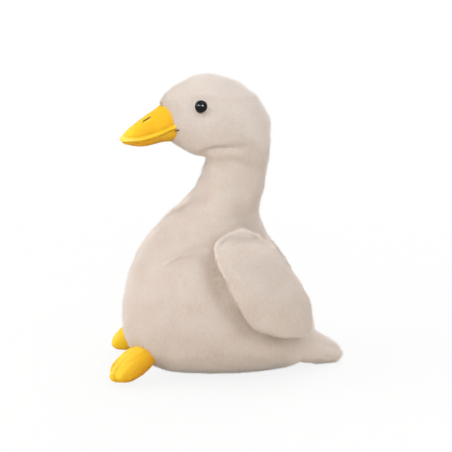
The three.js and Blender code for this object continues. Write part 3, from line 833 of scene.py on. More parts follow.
def grow(
    name: str,
    roots: Roots,
    pile: Pile,
    fibre: Materials,
    ride: Ride,
    seed: int,
    tone: Array,
    comb: Array,
    shorter: Array | float = 1.0,
) -> None:
    """Grows strands on roots and puts them into as many pieces as their number needs.

    A strand starts along the normal, leans towards the comb direction turned along the skin, and tapers
    to a point. The comb turns slowly by smooth noise, and the tips of a tuft draw to their mean.

    Args:
        name: The pieces' name, to which a number is added where there are more.
        roots: Where the strands start.
        pile: The pile's sizes.
        fibre: The materials of its tones, from deep to pale.
        ride: How the pieces move.
        seed: The seed of all that varies.
        tone: A share from deep to pale for each strand, before chance is added.
        comb: The lie at each root. Pile stands up where it is short of a length of one.
        shorter: A factor on each strand's length.
    """
    chance = np.random.default_rng(seed)
    points, normals = roots.points, roots.normals
    count = len(points)
    lie = np.clip(np.linalg.norm(comb, axis=1, keepdims=True), 0, 1)
    swirl = pile.swirl * Noise.PILE_LIE.along_axes(points)
    flow = unit(comb) + swirl + pile.stray * chance.normal(size=points.shape)
    flow = unit(flow - normals * np.sum(flow * normals, axis=1, keepdims=True))
    patchy = 0.03 * Noise.PILE_LENGTH.at(points)
    length = pile.length * (1 + patchy + pile.uneven * chance.normal(size=count))
    lean = np.radians(np.array(pile.lean)) * lie + np.radians(pile.sway) * chance.normal(size=(count, 1))
    half = (length * shorter)[:, None] / 2
    middle = points + half * (normals * np.cos(lean[:, :1]) + flow * np.sin(lean[:, :1]))
    tip = middle + half * (normals * np.cos(lean[:, 1:]) + flow * np.sin(lean[:, 1:]))
    tuft_size, draw = pile.clump
    slanted = np.array([[0.8, 0.6, 0], [-0.48, 0.64, 0.6], [0.36, -0.48, 0.8]])
    cells = np.floor((points + 1.6 * Noise.PILE_TUFTS.along_axes(points)) @ slanted / tuft_size)
    _, tuft = np.unique(cells, axis=0, return_inverse=True)
    tuft = tuft.ravel()
    sizes = np.bincount(tuft)[:, None]
    mean = np.stack([np.bincount(tuft, tip[:, k]) for k in range(3)], axis=1) / sizes
    pull = draw * chance.uniform(0.4, 1.3, (count, 1))
    tip = tip + (mean[tuft] - tip) * np.clip(pull, 0, 0.9)
    for ends in (middle, tip):
        ends[:, 2] = np.maximum(ends[:, 2], STRAND_FLOOR)
    turned = normals + pile.twist * chance.normal(size=points.shape)
    across = unit(np.cross(unit(tip - points), turned))
    across = across * (pile.width / 2) * chance.uniform(0.7, 1.2, (count, 1))
    level = tone + pile.mottle * (chance.normal(size=count) + 0.4 * chance.normal(size=len(sizes))[tuft])
    slots = np.clip((level * len(fibre)).astype(int), 0, len(fibre) - 1)
    order = np.argsort(points[:, 2] + 0.001 * points[:, 0], kind="stable")
    most = MOST_STRANDS * (3 if pile.fine else 1)
    pieces = np.array_split(order, max(1, math.ceil(count / most)))
    for place, chosen in enumerate(pieces):
        title = f"{name}_{place + 1}" if len(pieces) > 1 else name
        root, mid, end, wide = points[chosen], middle[chosen], tip[chosen], across[chosen]
        if pile.fine:
            corners = np.stack([root - wide, root + wide, end], axis=1)
            faces = np.array([[0, 1, 2]])
        else:
            corners = np.stack([root - wide, root + wide, mid - 0.8 * wide, mid + 0.8 * wide, end], axis=1)
            faces = np.array([[0, 1, 3], [0, 3, 2], [2, 3, 4]])
        thing = strands(title, corners, faces, normals[chosen], slots[chosen], fibre)
        ride.apply(thing)
        LOG.info("%s: %d strands", title, len(chosen))


def strands(
    name: str, corners: Array, faces: Array, normals: Array, slots: Array, fibre: Materials
) -> bpy.types.Object:
    """Puts strands into one mesh, shaded by the normal of the skin under them.

    Args:
        name: The piece's name.
        corners: The points of each strand, in millimetres.
        faces: A strand's triangles, by its own points.
        normals: The skin's normal at each root.
        slots: The material of each strand.
        fibre: The materials.

    Returns:
        The piece, which throws no shadow: light passes between and through the fine fibres, so only the
        cloth under them throws one.
    """
    count, per = corners.shape[:2]
    index = (faces[None] + np.arange(count)[:, None, None] * per).reshape(-1, 3).astype(np.int32)
    mesh = bpy.data.meshes.new(name)
    mesh.vertices.add(count * per)
    mesh.vertices.foreach_set("co", (corners.reshape(-1, 3) * MM).astype(np.float32).ravel())
    mesh.loops.add(index.size)
    mesh.loops.foreach_set("vertex_index", index.ravel())
    mesh.polygons.add(len(index))
    mesh.polygons.foreach_set("loop_start", np.arange(0, index.size, 3, dtype=np.int32))
    mesh.polygons.foreach_set("material_index", np.repeat(slots, len(faces)).astype(np.int32))
    mesh.update(calc_edges=True)
    mesh.shade_smooth()
    mesh.normals_split_custom_set_from_vertices(np.repeat(normals, per, axis=0).astype(np.float32))
    thing = bpy.data.objects.new(name, mesh)
    bpy.context.collection.objects.link(thing)
    thing.visible_shadow = False
    for material in fibre:
        mesh.materials.append(material)
    return thing


class Furred:
    """A part sewn of fur fabric: where its pile grows, how long and pale it is, and how it lies."""

    def keep(self, roots: Roots) -> Array:
        """Which roots grow pile: all of them."""
        return np.ones(len(roots.points), bool)

    def shortening(self, roots: Roots) -> Array:
        """A factor on the pile's length: the full length."""
        return np.ones(len(roots.points))

    def tone(self, roots: Roots) -> Array:
        """How pale the pile is: paler where it faces up, as painted light from above, with a slow drift."""
        return 0.56 + 0.24 * roots.normals[:, 2] + 0.05 * Noise.PILE_TONE.at(roots.points)

    def comb(self, roots: Roots) -> Array:
        """The lie of the pile: down and a little back."""
        return roots.lying(0.3, 0.0, -1.0)

    def grow_fur(self, word: str, shell: Shell, fibre: Materials, ride: Ride, seed: int) -> None:
        """Grows the layers of fur fabric on a skin.

        Args:
            word: The part's word in the pieces' names.
            shell: The skin.
            fibre: The materials of the pile.
            ride: How the pieces move.
            seed: The seed of all that varies.
        """
        for layer, (title, pile) in enumerate(FUR.items()):
            roots = Roots.on(shell, pile.density, seed + layer)
            roots = roots.where(self.keep(roots)).eased()
            shorter, tone, comb = self.shortening(roots), self.tone(roots), self.comb(roots)
            grow(f"{word}_{title}", roots, pile, fibre, ride, seed + 10 * layer, tone, comb, shorter)


# The duck's parts


@dataclass
class Wardrobe:
    """The finishes, made once and shared by the pieces."""

    pile: Materials
    backing: bpy.types.Material
    bill_pile: Materials
    bill_cloth: bpy.types.Material
    lower_pile: Materials
    lower_cloth: bpy.types.Material
    foot_pile: Materials
    foot_cloth: bpy.types.Material
    dark_thread: bpy.types.Material
    orange_thread: bpy.types.Material
    eye: bpy.types.Material
    washer: bpy.types.Material

    @classmethod
    def stocked(cls) -> "Wardrobe":
        """Makes every finish of the duck.

        Returns:
            The finishes.
        """
        return cls(
            # Brushed acrylic pile: cream, with deep tones for painted shade in the folds and pale ones for
            # painted light where it faces up
            pile=PileFibre("acrylic_pile", ("c6b499", "d9c7b5", "e3d3c5", "e8dbd1", "ede4dc")).materials(),
            # The pile's knitted backing, seen only between strands
            backing=KnitCloth("knitted_pile_backing", "e2d2c2", "d8c6b5", 25, 1.4).material(),
            # Sheared yellow plush, whose tones paint the light: pale where it faces up and along the lip,
            # orange where it turns away
            bill_pile=PileFibre(
                "sheared_yellow_plush", ("f6b60a", "fac60e", "fdd31a", "fedd3c", "ffe869"), 0.12
            ).materials(),
            bill_cloth=KnitCloth("yellow_plush_backing", "fcce16", "f6bc0c", 14, 0.9).material(),
            lower_pile=PileFibre("sheared_orange_plush", ("f2ae12", "f6ba1a", "f9c628"), 0.12).materials(),
            lower_cloth=KnitCloth("orange_plush_backing", "f4b81c", "eca810", 14, 0.9).material(),
            foot_pile=PileFibre(
                "sheared_foot_plush", ("f5ae08", "fabc0c", "fdcc18", "feda36", "ffe55c"), 0.12
            ).materials(),
            foot_cloth=KnitCloth("foot_plush_backing", "fcc816", "f5b40a", 14, 0.9).material(),
            dark_thread=PolyesterThread("black_polyester_thread", "3a3230", "14100f").material(),
            orange_thread=PolyesterThread("orange_polyester_thread", "d98a18", "b56c0c").material(),
            # Polished acrylic dome with a dark printed back: deep gloss with a faint brown ring
            eye=MouldedPlastic("polished_acrylic_eye", "010101", "060504", "030202", 0.06, 0.2).material(),
            # Polypropylene washer, left as moulded: satin black
            washer=MouldedPlastic("moulded_polypropylene", *["2b2b2b"] * 3, 0.45, 0.4).material(),
        )


def dress(
    thing: bpy.types.Object,
    material: bpy.types.Material,
    ride: Ride,
    replaced: tuple[str, ...],
) -> None:
    """Gives a finished piece its material and body, and hides the CAD nodes that it stands for.

    Args:
        thing: The piece.
        material: Its finish.
        ride: How it moves.
        replaced: The CAD nodes that it replaces.
    """
    thing.data.materials.append(material)
    ride.apply(thing)
    if replaced:
        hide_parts(*replaced)
    LOG.info("%s: %d faces", thing.name, len(thing.data.polygons))


class SkinLine(Enum):
    """Lines on the body's right side: rows of x, y, z and a share of the depth of what follows the line."""

    # The fold under the chin, from the middle of the throat to the nape
    THROAT = (
        (-33, 0, 250, 1), (-33, 20, 252, 1), (-31, 36, 262, 1), (-12, 45, 268, 0.9), (14, 47, 271, 0.35),
        (32, 38, 272, 0),
    )
    # The shallow fold below it
    UNDER_THROAT = ((-6, 42, 258, 0.2), (2, 42, 255, 1), (14, 42, 250, 0.9), (28, 36, 246, 0))
    # The crease across the chest, where the neck's cloth is gathered
    CHEST = ((-86, 60, 141, 0), (-72, 61, 150, 1), (-48, 63, 160, 1), (-24, 62, 165, 0.3))
    # The fold along a wing's front and lower edge, where the wing presses on the flank
    WING_EDGE = (
        (-17, 64, 168, 0.3), (-24, 76, 150, 0.8), (-18, 88, 122, 1), (-3, 94, 98, 1), (18, 92, 74, 1),
        (44, 82, 60, 1), (70, 66, 56, 0.4),
    )
    # The line over a wing's shoulder seam
    SHOULDER_SEAM = ((-18, 54, 176, 0.6), (0, 53, 180, 1), (22, 48, 180, 1), (40, 34, 176, 0.6))
    # The rim of the rump round the tail's root
    RUMP = ((104, 0, 50, 1), (101, 22, 42, 1), (92, 40, 24, 1), (84, 45, 6, 1))

    def pull(self, points: Array, side: Side, depth: float, width: float) -> Array:
        """The pull of a crease along the line on one side, as crease() gives it."""
        return crease(points, np.array(self.value, float) * [1, side.value, 1, 1], depth, width)


EYE_CENTRE = (-34.0, 41.6, 316.0)
# The depth and width of each fold in millimetres. The rump swells, so its depth is negative.
FOLDS = {
    SkinLine.THROAT: (5.5, 5.5),
    SkinLine.UNDER_THROAT: (2.0, 5.0),
    SkinLine.CHEST: (3.2, 4.5),
    SkinLine.WING_EDGE: (8.0, 13.0),
    SkinLine.RUMP: (-1.4, 16.0),
}


@dataclass
class Section(Furred):
    """One of the body's three skins: the stretch of the whole body between two heights."""

    body: "Body"
    bill: "Bill"
    low: float
    high: float

    def keep(self, roots: Roots) -> Array:
        """The roots between the two heights that no sewn-on part hides."""
        height = roots.points[:, 2]
        return (height >= self.low) & (height < self.high) & ~self.body.covered(roots, self.bill)

    def shortening(self, roots: Roots) -> Array:
        """Shorter round the eyes and on the face, and longer along the wings' seams.

        Args:
            roots: The roots.

        Returns:
            One factor for each root.
        """
        points = roots.points
        factor = np.ones(len(points))
        for side in Side:
            away = np.linalg.norm(points - side.of(EYE_CENTRE), axis=1)
            factor *= 0.4 + 0.6 * rise(away, 6.5, 9)
            factor += SkinLine.SHOULDER_SEAM.pull(points, side, 0.5, 7.0)
        face = rise(points[:, 2], 246, 10) * fall(points[:, 0], -10, 24)
        return factor * (1 - 0.35 * face)

    def tone(self, roots: Roots) -> Array:
        """Paler up the neck and head, as painted light, and deeper in the fold beside each wing and in the
        throat, as painted shade.

        Args:
            roots: The roots.

        Returns:
            One share from deep to pale for each root.
        """
        # Painted light: the pile grows paler up the neck and head
        level = super().tone(roots) + 0.16 * rise(roots.points[:, 2], 215, 80)
        for side in Side:
            # Painted shade in the fold along each wing's edge and in the throat's fold
            level = level - SkinLine.WING_EDGE.pull(roots.points, side, 0.72, 11.0)
            level = level - SkinLine.THROAT.pull(roots.points, side, 0.3, 6.0)
        return level

    def comb(self, roots: Roots) -> Array:
        """Down and back on the body, and away from the bill on the face.

        Args:
            roots: The roots.

        Returns:
            One direction for each root.
        """
        bill_middle, drop = np.array([-104.0, 0.0, 306.0]), np.array([0.1, 0.0, -0.25])
        face = rise(roots.points[:, 2], 262, 20)[:, None]
        return super().comb(roots) * (1 - face) + (unit(roots.points - bill_middle) + drop) * face


@dataclass
class Body:
    """Torso, neck and head: one smooth form cut into three skins."""

    rows: Rows = (
        (2.6, -4.0, -4.0, 0.0, 2.0, 0.0),
        (1.5, -40.0, 34.0, 17.0, 2.2, 0.0),
        (0.8, -69.9, 62.1, 30.0, 2.25, 0.0),
        (4.0, -86.0, 78.0, 43.1, 2.25, 0.0),
        (7.9, -94.5, 86.0, 52.1, 2.25, 0.0),
        (14.0, -105.1, 92.9, 62.9, 2.25, 0.0),
        (20.1, -112.9, 98.0, 71.0, 2.25, 0.0),
        (30.0, -120.5, 101.0, 80.0, 2.25, 0.0),
        (45.1, -126.5, 101.9, 88.0, 2.25, 0.0),
        (65.0, -128.1, 98.9, 92.0, 2.25, 0.0),
        (90.0, -126.0, 89.0, 92.0, 2.25, 0.0),
        (115.0, -120.1, 76.4, 87.0, 2.25, 0.0),
        (138.0, -111.6, 62.1, 78.0, 2.25, 0.0),
        (158.1, -100.1, 49.9, 66.1, 2.22, 0.0),
        (172.0, -86.9, 43.7, 57.0, 2.18, 0.0),
        (184.0, -75.9, 39.6, 51.5, 2.12, 0.0),
        (194.0, -67.5, 38.3, 48.0, 2.05, 0.0),
        (200.0, -60.0, 39.0, 46.5, 2.0, 0.0),
        (208.0, -52.0, 41.0, 44.5, 2.0, 0.0),
        (215.0, -45.0, 42.7, 43.0, 2.0, 0.0),
        (222.0, -39.5, 44.0, 41.5, 2.0, 0.0),
        (229.0, -36.5, 45.0, 40.5, 2.0, 0.0),
        (236.0, -33.5, 46.3, 39.5, 2.0, 0.0),
        (245.0, -32.0, 47.3, 39.6, 2.0, 0.0),
        (250.0, -32.0, 48.0, 40.6, 2.0, 0.03),
        (255.0, -36.0, 48.6, 41.8, 2.0, 0.08),
        (260.0, -48.0, 49.1, 43.2, 2.0, 0.14),
        (265.0, -61.0, 49.5, 45.0, 2.0, 0.19),
        (271.0, -69.9, 49.8, 46.6, 2.0, 0.24),
        (280.0, -77.0, 49.7, 48.0, 2.0, 0.24),
        (290.0, -80.0, 49.0, 49.0, 2.0, 0.24),
        (300.0, -81.5, 47.6, 48.5, 2.0, 0.24),
        (312.0, -80.6, 42.1, 46.5, 2.0, 0.24),
        (320.0, -80.0, 37.0, 44.0, 2.0, 0.24),
        (327.0, -76.0, 33.0, 40.5, 2.0, 0.24),
        (333.0, -69.9, 23.5, 35.5, 2.0, 0.24),
        (340.0, -61.0, 13.0, 28.0, 2.0, 0.24),
        (346.0, -47.0, -4.1, 19.0, 2.0, 0.24),
        (349.0, -34.0, -19.0, 7.5, 2.0, 0.24),
        (350.0, -27.0, -27.0, 0.0, 2.0, 0.24),
    )
    ring_count: int = 250
    columns: int = 160
    inset: float = 2.7
    slack: float = 2.5
    torso_top: float = 200.0
    neck_top: float = 239.0
    voxel: float = 6.0
    seed: int = 200
    middle: Place = (-15.0, 0.0, 120.0)
    bend_low: tuple[float, float] = (165.0, 199.0)
    bend_high: tuple[float, float] = (240.0, 262.0)

    def grid(self) -> Array:
        """Works out the skin: the rings of the outline, cut smaller, stuffed and creased.

        The stuffed skin lies the inset, which is the pile's height, inside the outline. Creases, the eye
        sockets and soft lumps of the filling move it along the normal.

        Returns:
            The ring grid of the whole body.
        """
        rows = through(np.array(self.rows), self.ring_count)
        outline = rings(np.concatenate([rows, np.zeros((len(rows), 1))], axis=1), self.columns)
        inside = np.array(self.middle)
        skin = sewn_bag(outline, inside, self.inset + self.slack, self.slack, self.voxel)
        return on_ground(skin - grid_normals(skin, inside) * self.folds(outline)[..., None])

    def holds(self, points: Array, margin: float) -> Array:
        """Which points lie inside the outline by a margin: |u|^p + |v|^p < 1 at their height.

        Args:
            points: Points in millimetres.
            margin: How far inside, in millimetres.

        Returns:
            True for each point that lies inside.
        """
        rows = np.array(self.rows)[2:]
        front, back, half, power = (np.interp(points[:, 2], rows[:, 0], rows[:, k]) for k in range(1, 5))
        u = (points[:, 0] - (front + back) / 2) / ((back - front) / 2 - margin)
        v = points[:, 1] / np.maximum(half - margin, 1)
        return (np.abs(u) ** power + np.abs(v) ** power < 1) & (points[:, 2] > 0)

    def folds(self, points: Array) -> Array:
        """How far the creases, eye sockets and lumps pull the skin in, in millimetres.

        Args:
            points: Points in millimetres.

        Returns:
            One pull for each point.
        """
        pull = np.zeros(points.shape[:-1])
        for side in Side:
            for line, (depth, width) in FOLDS.items():
                pull += line.pull(points, side, depth, width)
            away = np.linalg.norm(points - side.of(EYE_CENTRE), axis=-1)
            pull += 2.0 * bell(away, 11.5, 5.0) - 2.6 * bell(away, 0, 6.5)
        lumps = 0.9 * Noise.BODY_LUMPS.at(points) + 0.4 * Noise.SMALL_LUMPS.at(points)
        return pull + lumps * rise(points[..., 2], 0, 20)

    def piece(self, grid: Array, low: float, high: float) -> Array:
        """The rings between two heights on the middle line, with each cut end drawn in to close it.

        Args:
            grid: The whole body's grid.
            low: The lower height.
            high: The upper height.

        Returns:
            The piece's ring grid.
        """
        rising = 20  # The rings before this one run down and out under the belly
        heights = through(np.array(self.rows), self.ring_count)[:, 0]
        last = len(heights) - 1
        first = 0 if low <= 0 else int(np.searchsorted(heights[rising:], low)) + rising
        final = last if high >= heights[-1] else int(np.searchsorted(heights[rising:], high)) + rising
        part = grid[first : final + 1]
        stack = [part]
        if first > 0:
            stack.insert(0, self.drawn_in(part[0], 1)[::-1])
        if final < last:
            stack.append(self.drawn_in(part[-1], -1))
        return np.concatenate(stack)

    @staticmethod
    def drawn_in(ring: Array, up: int) -> Array:
        """Three rings that draw a cut edge in, and a little up or down, to close its skin.

        Args:
            ring: The cut edge.
            up: 1 where the edge is drawn upwards, and -1 where it is drawn down.

        Returns:
            The three rings, the widest first.
        """
        middle = ring.mean(axis=0)
        share = np.array([0.9, 0.5, 0.1])[:, None, None]
        return middle + (ring - middle) * share + np.array([0, 0, 3.0 * up]) * (1 - share)

    def covered(self, roots: Roots, bill: "Bill") -> Array:
        """Which roots the bill, an eye or the ground under the belly hides.

        Args:
            roots: The roots.
            bill: The bill that is sewn on the face.

        Returns:
            True for each root that is hidden.
        """
        points = roots.points
        hidden = (points[:, 2] < 3.5) & (roots.normals[:, 2] < -0.5)
        hidden |= bill.holds(points)
        for side in Side:
            hidden |= np.linalg.norm(points - side.of(EYE_CENTRE), axis=1) < Eye.diameter / 2
        return hidden

    def build(self, wardrobe: Wardrobe, bill: "Bill") -> None:
        """Builds and dresses the three skins, and grows their pile.

        Args:
            wardrobe: The finishes.
            bill: The bill that is sewn on the face.
        """
        grid = self.grid()
        low = Ride("torso", "neck", (0, 0, self.bend_low[0]), (0, 0, self.bend_low[1]))
        high = Ride("neck", "head", (0, 0, self.bend_high[0]), (0, 0, self.bend_high[1]))
        plan = (
            ("torso", 0.0, self.torso_top, low, 0.95),
            ("neck", self.torso_top, self.neck_top, Ride("neck"), 0.9),
            ("head", self.neck_top, 400.0, high, 0.95),
        )
        whole = Shell.of(grid)
        for word, bottom, top, ride, fill in plan:
            skin = Shell.of(self.piece(grid, bottom, top)).build(f"{word}_fur_fabric")
            dress(skin, wardrobe.backing, ride, (f"{word}_skin", f"{word}_filling"))
            Section(self, bill, bottom, top).grow_fur(word, whole, wardrobe.pile, ride, self.seed)


@dataclass
class Bill:
    """The bill: an upper half with a rolled lip along its edge, and a thin lower half under it."""

    root: float = -58.0
    seam: float = 272.5
    length: float = 66.5
    upper: Rows = (
        (0.0, 16.3, 52.8, 26.0),
        (12.0, 11.3, 47.3, 24.5),
        (19.3, 7.9, 43.2, 22.5),
        (26.6, 5.0, 37.7, 20.5),
        (34.6, 2.6, 31.9, 19.25),
        (42.6, 0.7, 26.6, 18.0),
        (50.5, 0.0, 21.1, 16.5),
        (57.2, 0.1, 15.1, 14.25),
        (62.2, 0.8, 9.8, 11.0),
        (65.2, 1.7, 6.2, 7.0),
        (66.5, 3.8, 3.8, 0.0),
    )
    lower: Rows = (
        (0.0, 1.5, 20.3, 25.2),
        (10.0, 1.0, 16.6, 23.8),
        (19.3, 0.2, 12.0, 21.6),
        (26.6, -1.8, 9.0, 20.2),
        (34.6, -3.7, 6.2, 18.7),
        (42.6, -4.6, 4.0, 17.2),
        (50.5, -4.0, 3.0, 15.4),
        (57.9, -2.4, 2.6, 12.3),
        (61.8, -1.5, 1.8, 7.2),
        (63.6, 0.2, 0.2, 0.0),
    )
    lip: float = 1.5
    groove: float = 1.0
    nap: float = 0.7
    slack: float = 0.8
    voxel: float = 3.0
    upper_mesh: tuple[int, int] = (90, 112)
    lower_mesh: tuple[int, int] = (70, 88)
    upper_seeds: tuple[int, int] = (61, 300)
    lower_seeds: tuple[int, int] = (62, 320)
    bury: float = 2.2
    nostril: Place = (-93.5, 8.6, 8.0)
    thread: float = 1.4

    def axes(self) -> Axes:
        """The bill's frame: up, across and ahead from the root."""
        return Axes((self.root, 0.0, self.seam), (0, 0, 1), (0, 1, 0), (-1, 0, 0))

    def holds(self, points: Array) -> Array:
        """Which points lie inside the upper or lower half, by their ellipses.

        Args:
            points: Points in millimetres.

        Returns:
            True for each point that lies inside.
        """
        along = self.root - points[:, 0]
        inside = np.zeros(len(points), bool)
        for half_bill, keel in ((self.upper, 0.1), (self.lower, 0.8)):
            rows = np.array(half_bill)
            low, high, half = (np.interp(along, rows[:, 0], rows[:, k]) for k in (1, 2, 3))
            height = points[:, 2] - self.seam
            middle = low + (high - low) * keel
            reach = np.where(height > middle, high - middle, middle - low) - self.bury
            wide = np.maximum(half - self.bury, 0.5)
            share = ((height - middle) / np.maximum(reach, 0.5)) ** 2 + (points[:, 1] / wide) ** 2
            inside |= (along > -4) & (along < self.length) & (share < 1)
        return inside

    def upper_grid(self) -> Array:
        """The upper half: rings of a high half ellipse on a flat base, with the lip rolled out.

        The lip is a bell curve of the height above the edge, and the groove over it a narrower one.
        Two dimples lie under the nostril stitches.

        Returns:
            The ring grid in the duck's axes.
        """
        count, columns = self.upper_mesh
        rows = through(table(self.upper), count)
        local = rings(rows, columns, keel=0.1)
        inside = np.array([-85.0, 0.0, 285.0])
        points = sewn_bag(self.axes().place(local), inside, self.slack, self.slack, self.voxel)
        normals = grid_normals(points, inside)
        height = local[..., 0] - rows[:, 1:2]
        room = rise(rows[:, 2:3] - rows[:, 1:2], 0, 14)
        level = np.clip(1 - np.abs(normals[..., 2]), 0, 1)
        lift = self.lip * room * bell(height, 2.6, 2.6) * (0.4 + 0.6 * level)
        lift -= self.groove * room * bell(height, 7.0, 1.5) * np.clip(level * 2, 0, 1)
        x, y, size = self.nostril
        for side in Side:
            stretch = np.clip(np.abs(points[..., 0] - x) - size / 2, 0, None)
            away = np.hypot(stretch, points[..., 1] - side.value * y)
            lift -= 1.1 * bell(away, 0, 2.4) * (height > 8)
        lift += 0.35 * Noise.UPPER_BILL.at(points) - self.nap
        return points + normals * lift[..., None]

    def lower_grid(self) -> Array:
        """The lower half: rings of a shallow ellipse, widest near its upper edge.

        Returns:
            The ring grid in the duck's axes.
        """
        inside = np.array([-85.0, 0.0, 272.0])
        count, columns = self.lower_mesh
        outline = self.axes().place(rings(through(table(self.lower), count), columns, keel=0.86))
        points = sewn_bag(outline, inside, self.slack, self.slack, self.voxel)
        normals = grid_normals(points, inside)
        return points + normals * (0.2 * Noise.LOWER_BILL.at(points) - self.nap)[..., None]

    def build(self, wardrobe: Wardrobe) -> None:
        """Builds both halves with their plush, and the nostril and mouth stitches.

        Args:
            wardrobe: The finishes.
        """
        ride = Ride("head")
        grid = self.upper_grid()
        shell = Shell.of(grid)
        replaced = ("upper_bill_skin", "upper_bill_filling")
        dress(shell.build("upper_bill_plush"), wardrobe.bill_cloth, ride, replaced)
        scatter, seed = self.upper_seeds
        roots = Roots.on(shell, NAP.density, scatter)
        roots = roots.where(roots.points[:, 0] < self.root - 4)
        pile, lie = wardrobe.bill_pile, (-1.0, 0.0, -0.3)
        grow("upper_bill_nap", roots, NAP, pile, ride, seed, self.tone(roots), roots.lying(*lie))
        shell = Shell.of(self.lower_grid())
        dress(shell.build("lower_bill_plush"), wardrobe.lower_cloth, ride, ("lower_bill",))
        scatter, seed = self.lower_seeds
        roots = Roots.on(shell, NAP.density, scatter)
        tone = 0.5 + 0.2 * Noise.PILE_TONE.at(roots.points)
        pile = wardrobe.lower_pile
        grow("lower_bill_nap", roots, NAP, pile, ride, seed, tone, roots.lying(*lie))
        self.stitches(grid, wardrobe.dark_thread, ride)

    def tone(self, roots: Roots) -> Array:
        """The upper bill's tone: pale where it faces up, as painted light, and along the lip, as a painted
        highlight; paler towards the tip, deep between.

        Args:
            roots: The roots.

        Returns:
            One share from deep to pale for each root.
        """
        points, normals = roots.points, roots.normals
        ahead = fall(points[:, 0], -96, 24)
        up = np.clip(normals[:, 2], 0, 1)
        rows = np.array(self.upper)
        height = points[:, 2] - self.seam - np.interp(self.root - points[:, 0], rows[:, 0], rows[:, 1])
        # Painted light where the plush faces up and a painted highlight along the lip
        return 0.22 + 0.3 * up + 0.3 * ahead + 0.35 * bell(height, 3.5, 2.6)

    def stitches(self, grid: Array, thread: bpy.types.Material, ride: Ride) -> None:
        """Sews a nostril and a mouth corner on each side, their ends sunk in the cloth.

        A nostril's points lie on the mean height of the nearest four points of the upper half above its
        lip. A mouth corner is a bow round the middle of its CAD node.

        Args:
            grid: The upper half's ring grid.
            thread: The thread's finish.
            ride: How the stitches move.
        """
        nearest, lip_top, radius = 4, 9, self.thread / 2
        flat = grid.reshape(-1, 3)
        shares = np.array([-0.55, -0.5, -0.25, 0.0, 0.25, 0.5, 0.55])
        lifts = np.array([-0.8, 0.9, 1.3, 1.4, 1.3, 0.9, -0.8])
        half_bow = [[2.2, -4.8, 0.5], [1.1, -3.8, 0.3], [0, -3.4, 0]]
        bow = np.array(half_bow + [[-1.1, -3.8, -0.3], [-2.2, -4.8, -0.5]])
        x, y, size = self.nostril
        for side in Side:
            path = np.stack([x + shares * size, np.full(7, side.value * y), np.zeros(7)], axis=1)
            for row in path:
                away = np.hypot(flat[:, 0] - row[0], flat[:, 1] - row[1])
                away += 100 * (flat[:, 2] < self.seam + lip_top)
                row[2] = flat[away.argsort()[:nearest], 2].mean()
            path[:, 2] += lifts
            low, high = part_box(f"{side.word}_mouth_stitch")
            corner = (np.array(low) + np.array(high)) / 2 / MM + side.of(bow)
            for word, line, twists in (("nostril", path, 4), ("mouth", corner, 3)):
                sewn = Shell.of(tube(line, radius, twists)).build(f"{side.word}_{word}_thread")
                dress(sewn, thread, ride, (f"{side.word}_{word}_stitch",))


@dataclass
class Eye:
    """A safety eye: a polished dome with a rim and a ribbed shank, turned about its own axis."""

    side: Side
    out: Place = (-0.133, 0.947, 0.292)
    diameter: float = 14.0
    dome: float = 5.2
    rim: float = 1.0
    shank: float = 3.8
    shank_length: float = 15.0
    rib_spacing: float = 1.0
    lift: float = -0.3
    columns: int = 48

    def profile(self) -> Array:
        """The half section from the shank's end to the top of the dome: radius and height.

        Returns:
            Rows of a radius and a height, in millimetres.
        """
        radius = self.diameter / 2
        ribs = np.linspace(-self.shank_length, -1.0, 57)
        shank = self.shank / 2 * (1 - 0.06 * (1 + np.cos(ribs * 2 * np.pi / self.rib_spacing)) / 2)
        arc = np.linspace(0, np.pi / 2, 26)
        dome = np.stack([radius * np.cos(arc), self.rim + self.dome * np.sin(arc)], axis=1)
        base = np.array([[self.shank / 2, 0.0], [radius - 0.5, 0.0], [radius - 0.12, 0.14], [radius, 0.5]])
        start = np.array([[0.35, -self.shank_length], [1.5, -self.shank_length]])
        rows = np.concatenate([start, np.stack([shank, ribs], axis=1), base, dome])
        rows[-1, 0] = 0.02
        return rows

    def build(self, wardrobe: Wardrobe) -> None:
        """Turns the profile and dresses the eye.

        Args:
            wardrobe: The finishes.
        """
        rows = self.profile()
        out = unit(self.side.of(self.out))
        across = unit(np.cross([0, 0, 1.0], out))
        high = np.cross(out, across)
        middle = self.side.of(EYE_CENTRE) + out * self.lift
        angle = np.arange(self.columns) * 2 * np.pi / self.columns
        spoke = np.cos(angle)[:, None] * across + np.sin(angle)[:, None] * high
        grid = middle + rows[:, None, :1] * spoke[None] + rows[:, None, 1:] * out
        thing = Shell.of(grid).build(f"{self.side.word}_safety_eye")
        away = np.concatenate([np.repeat(rows[:, 0], self.columns), [0, 0]]) / (self.diameter / 2)
        ring = thing.data.attributes.new("ring", "FLOAT", "POINT")
        ring.data.foreach_set("value", away.astype(np.float32))
        dress(thing, wardrobe.eye, Ride("head"), (f"{self.side.word}_eye",))
        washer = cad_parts[f"{self.side.word}_eye_washer"]
        washer.data.materials.clear()
        washer.data.materials.append(wardrobe.washer)


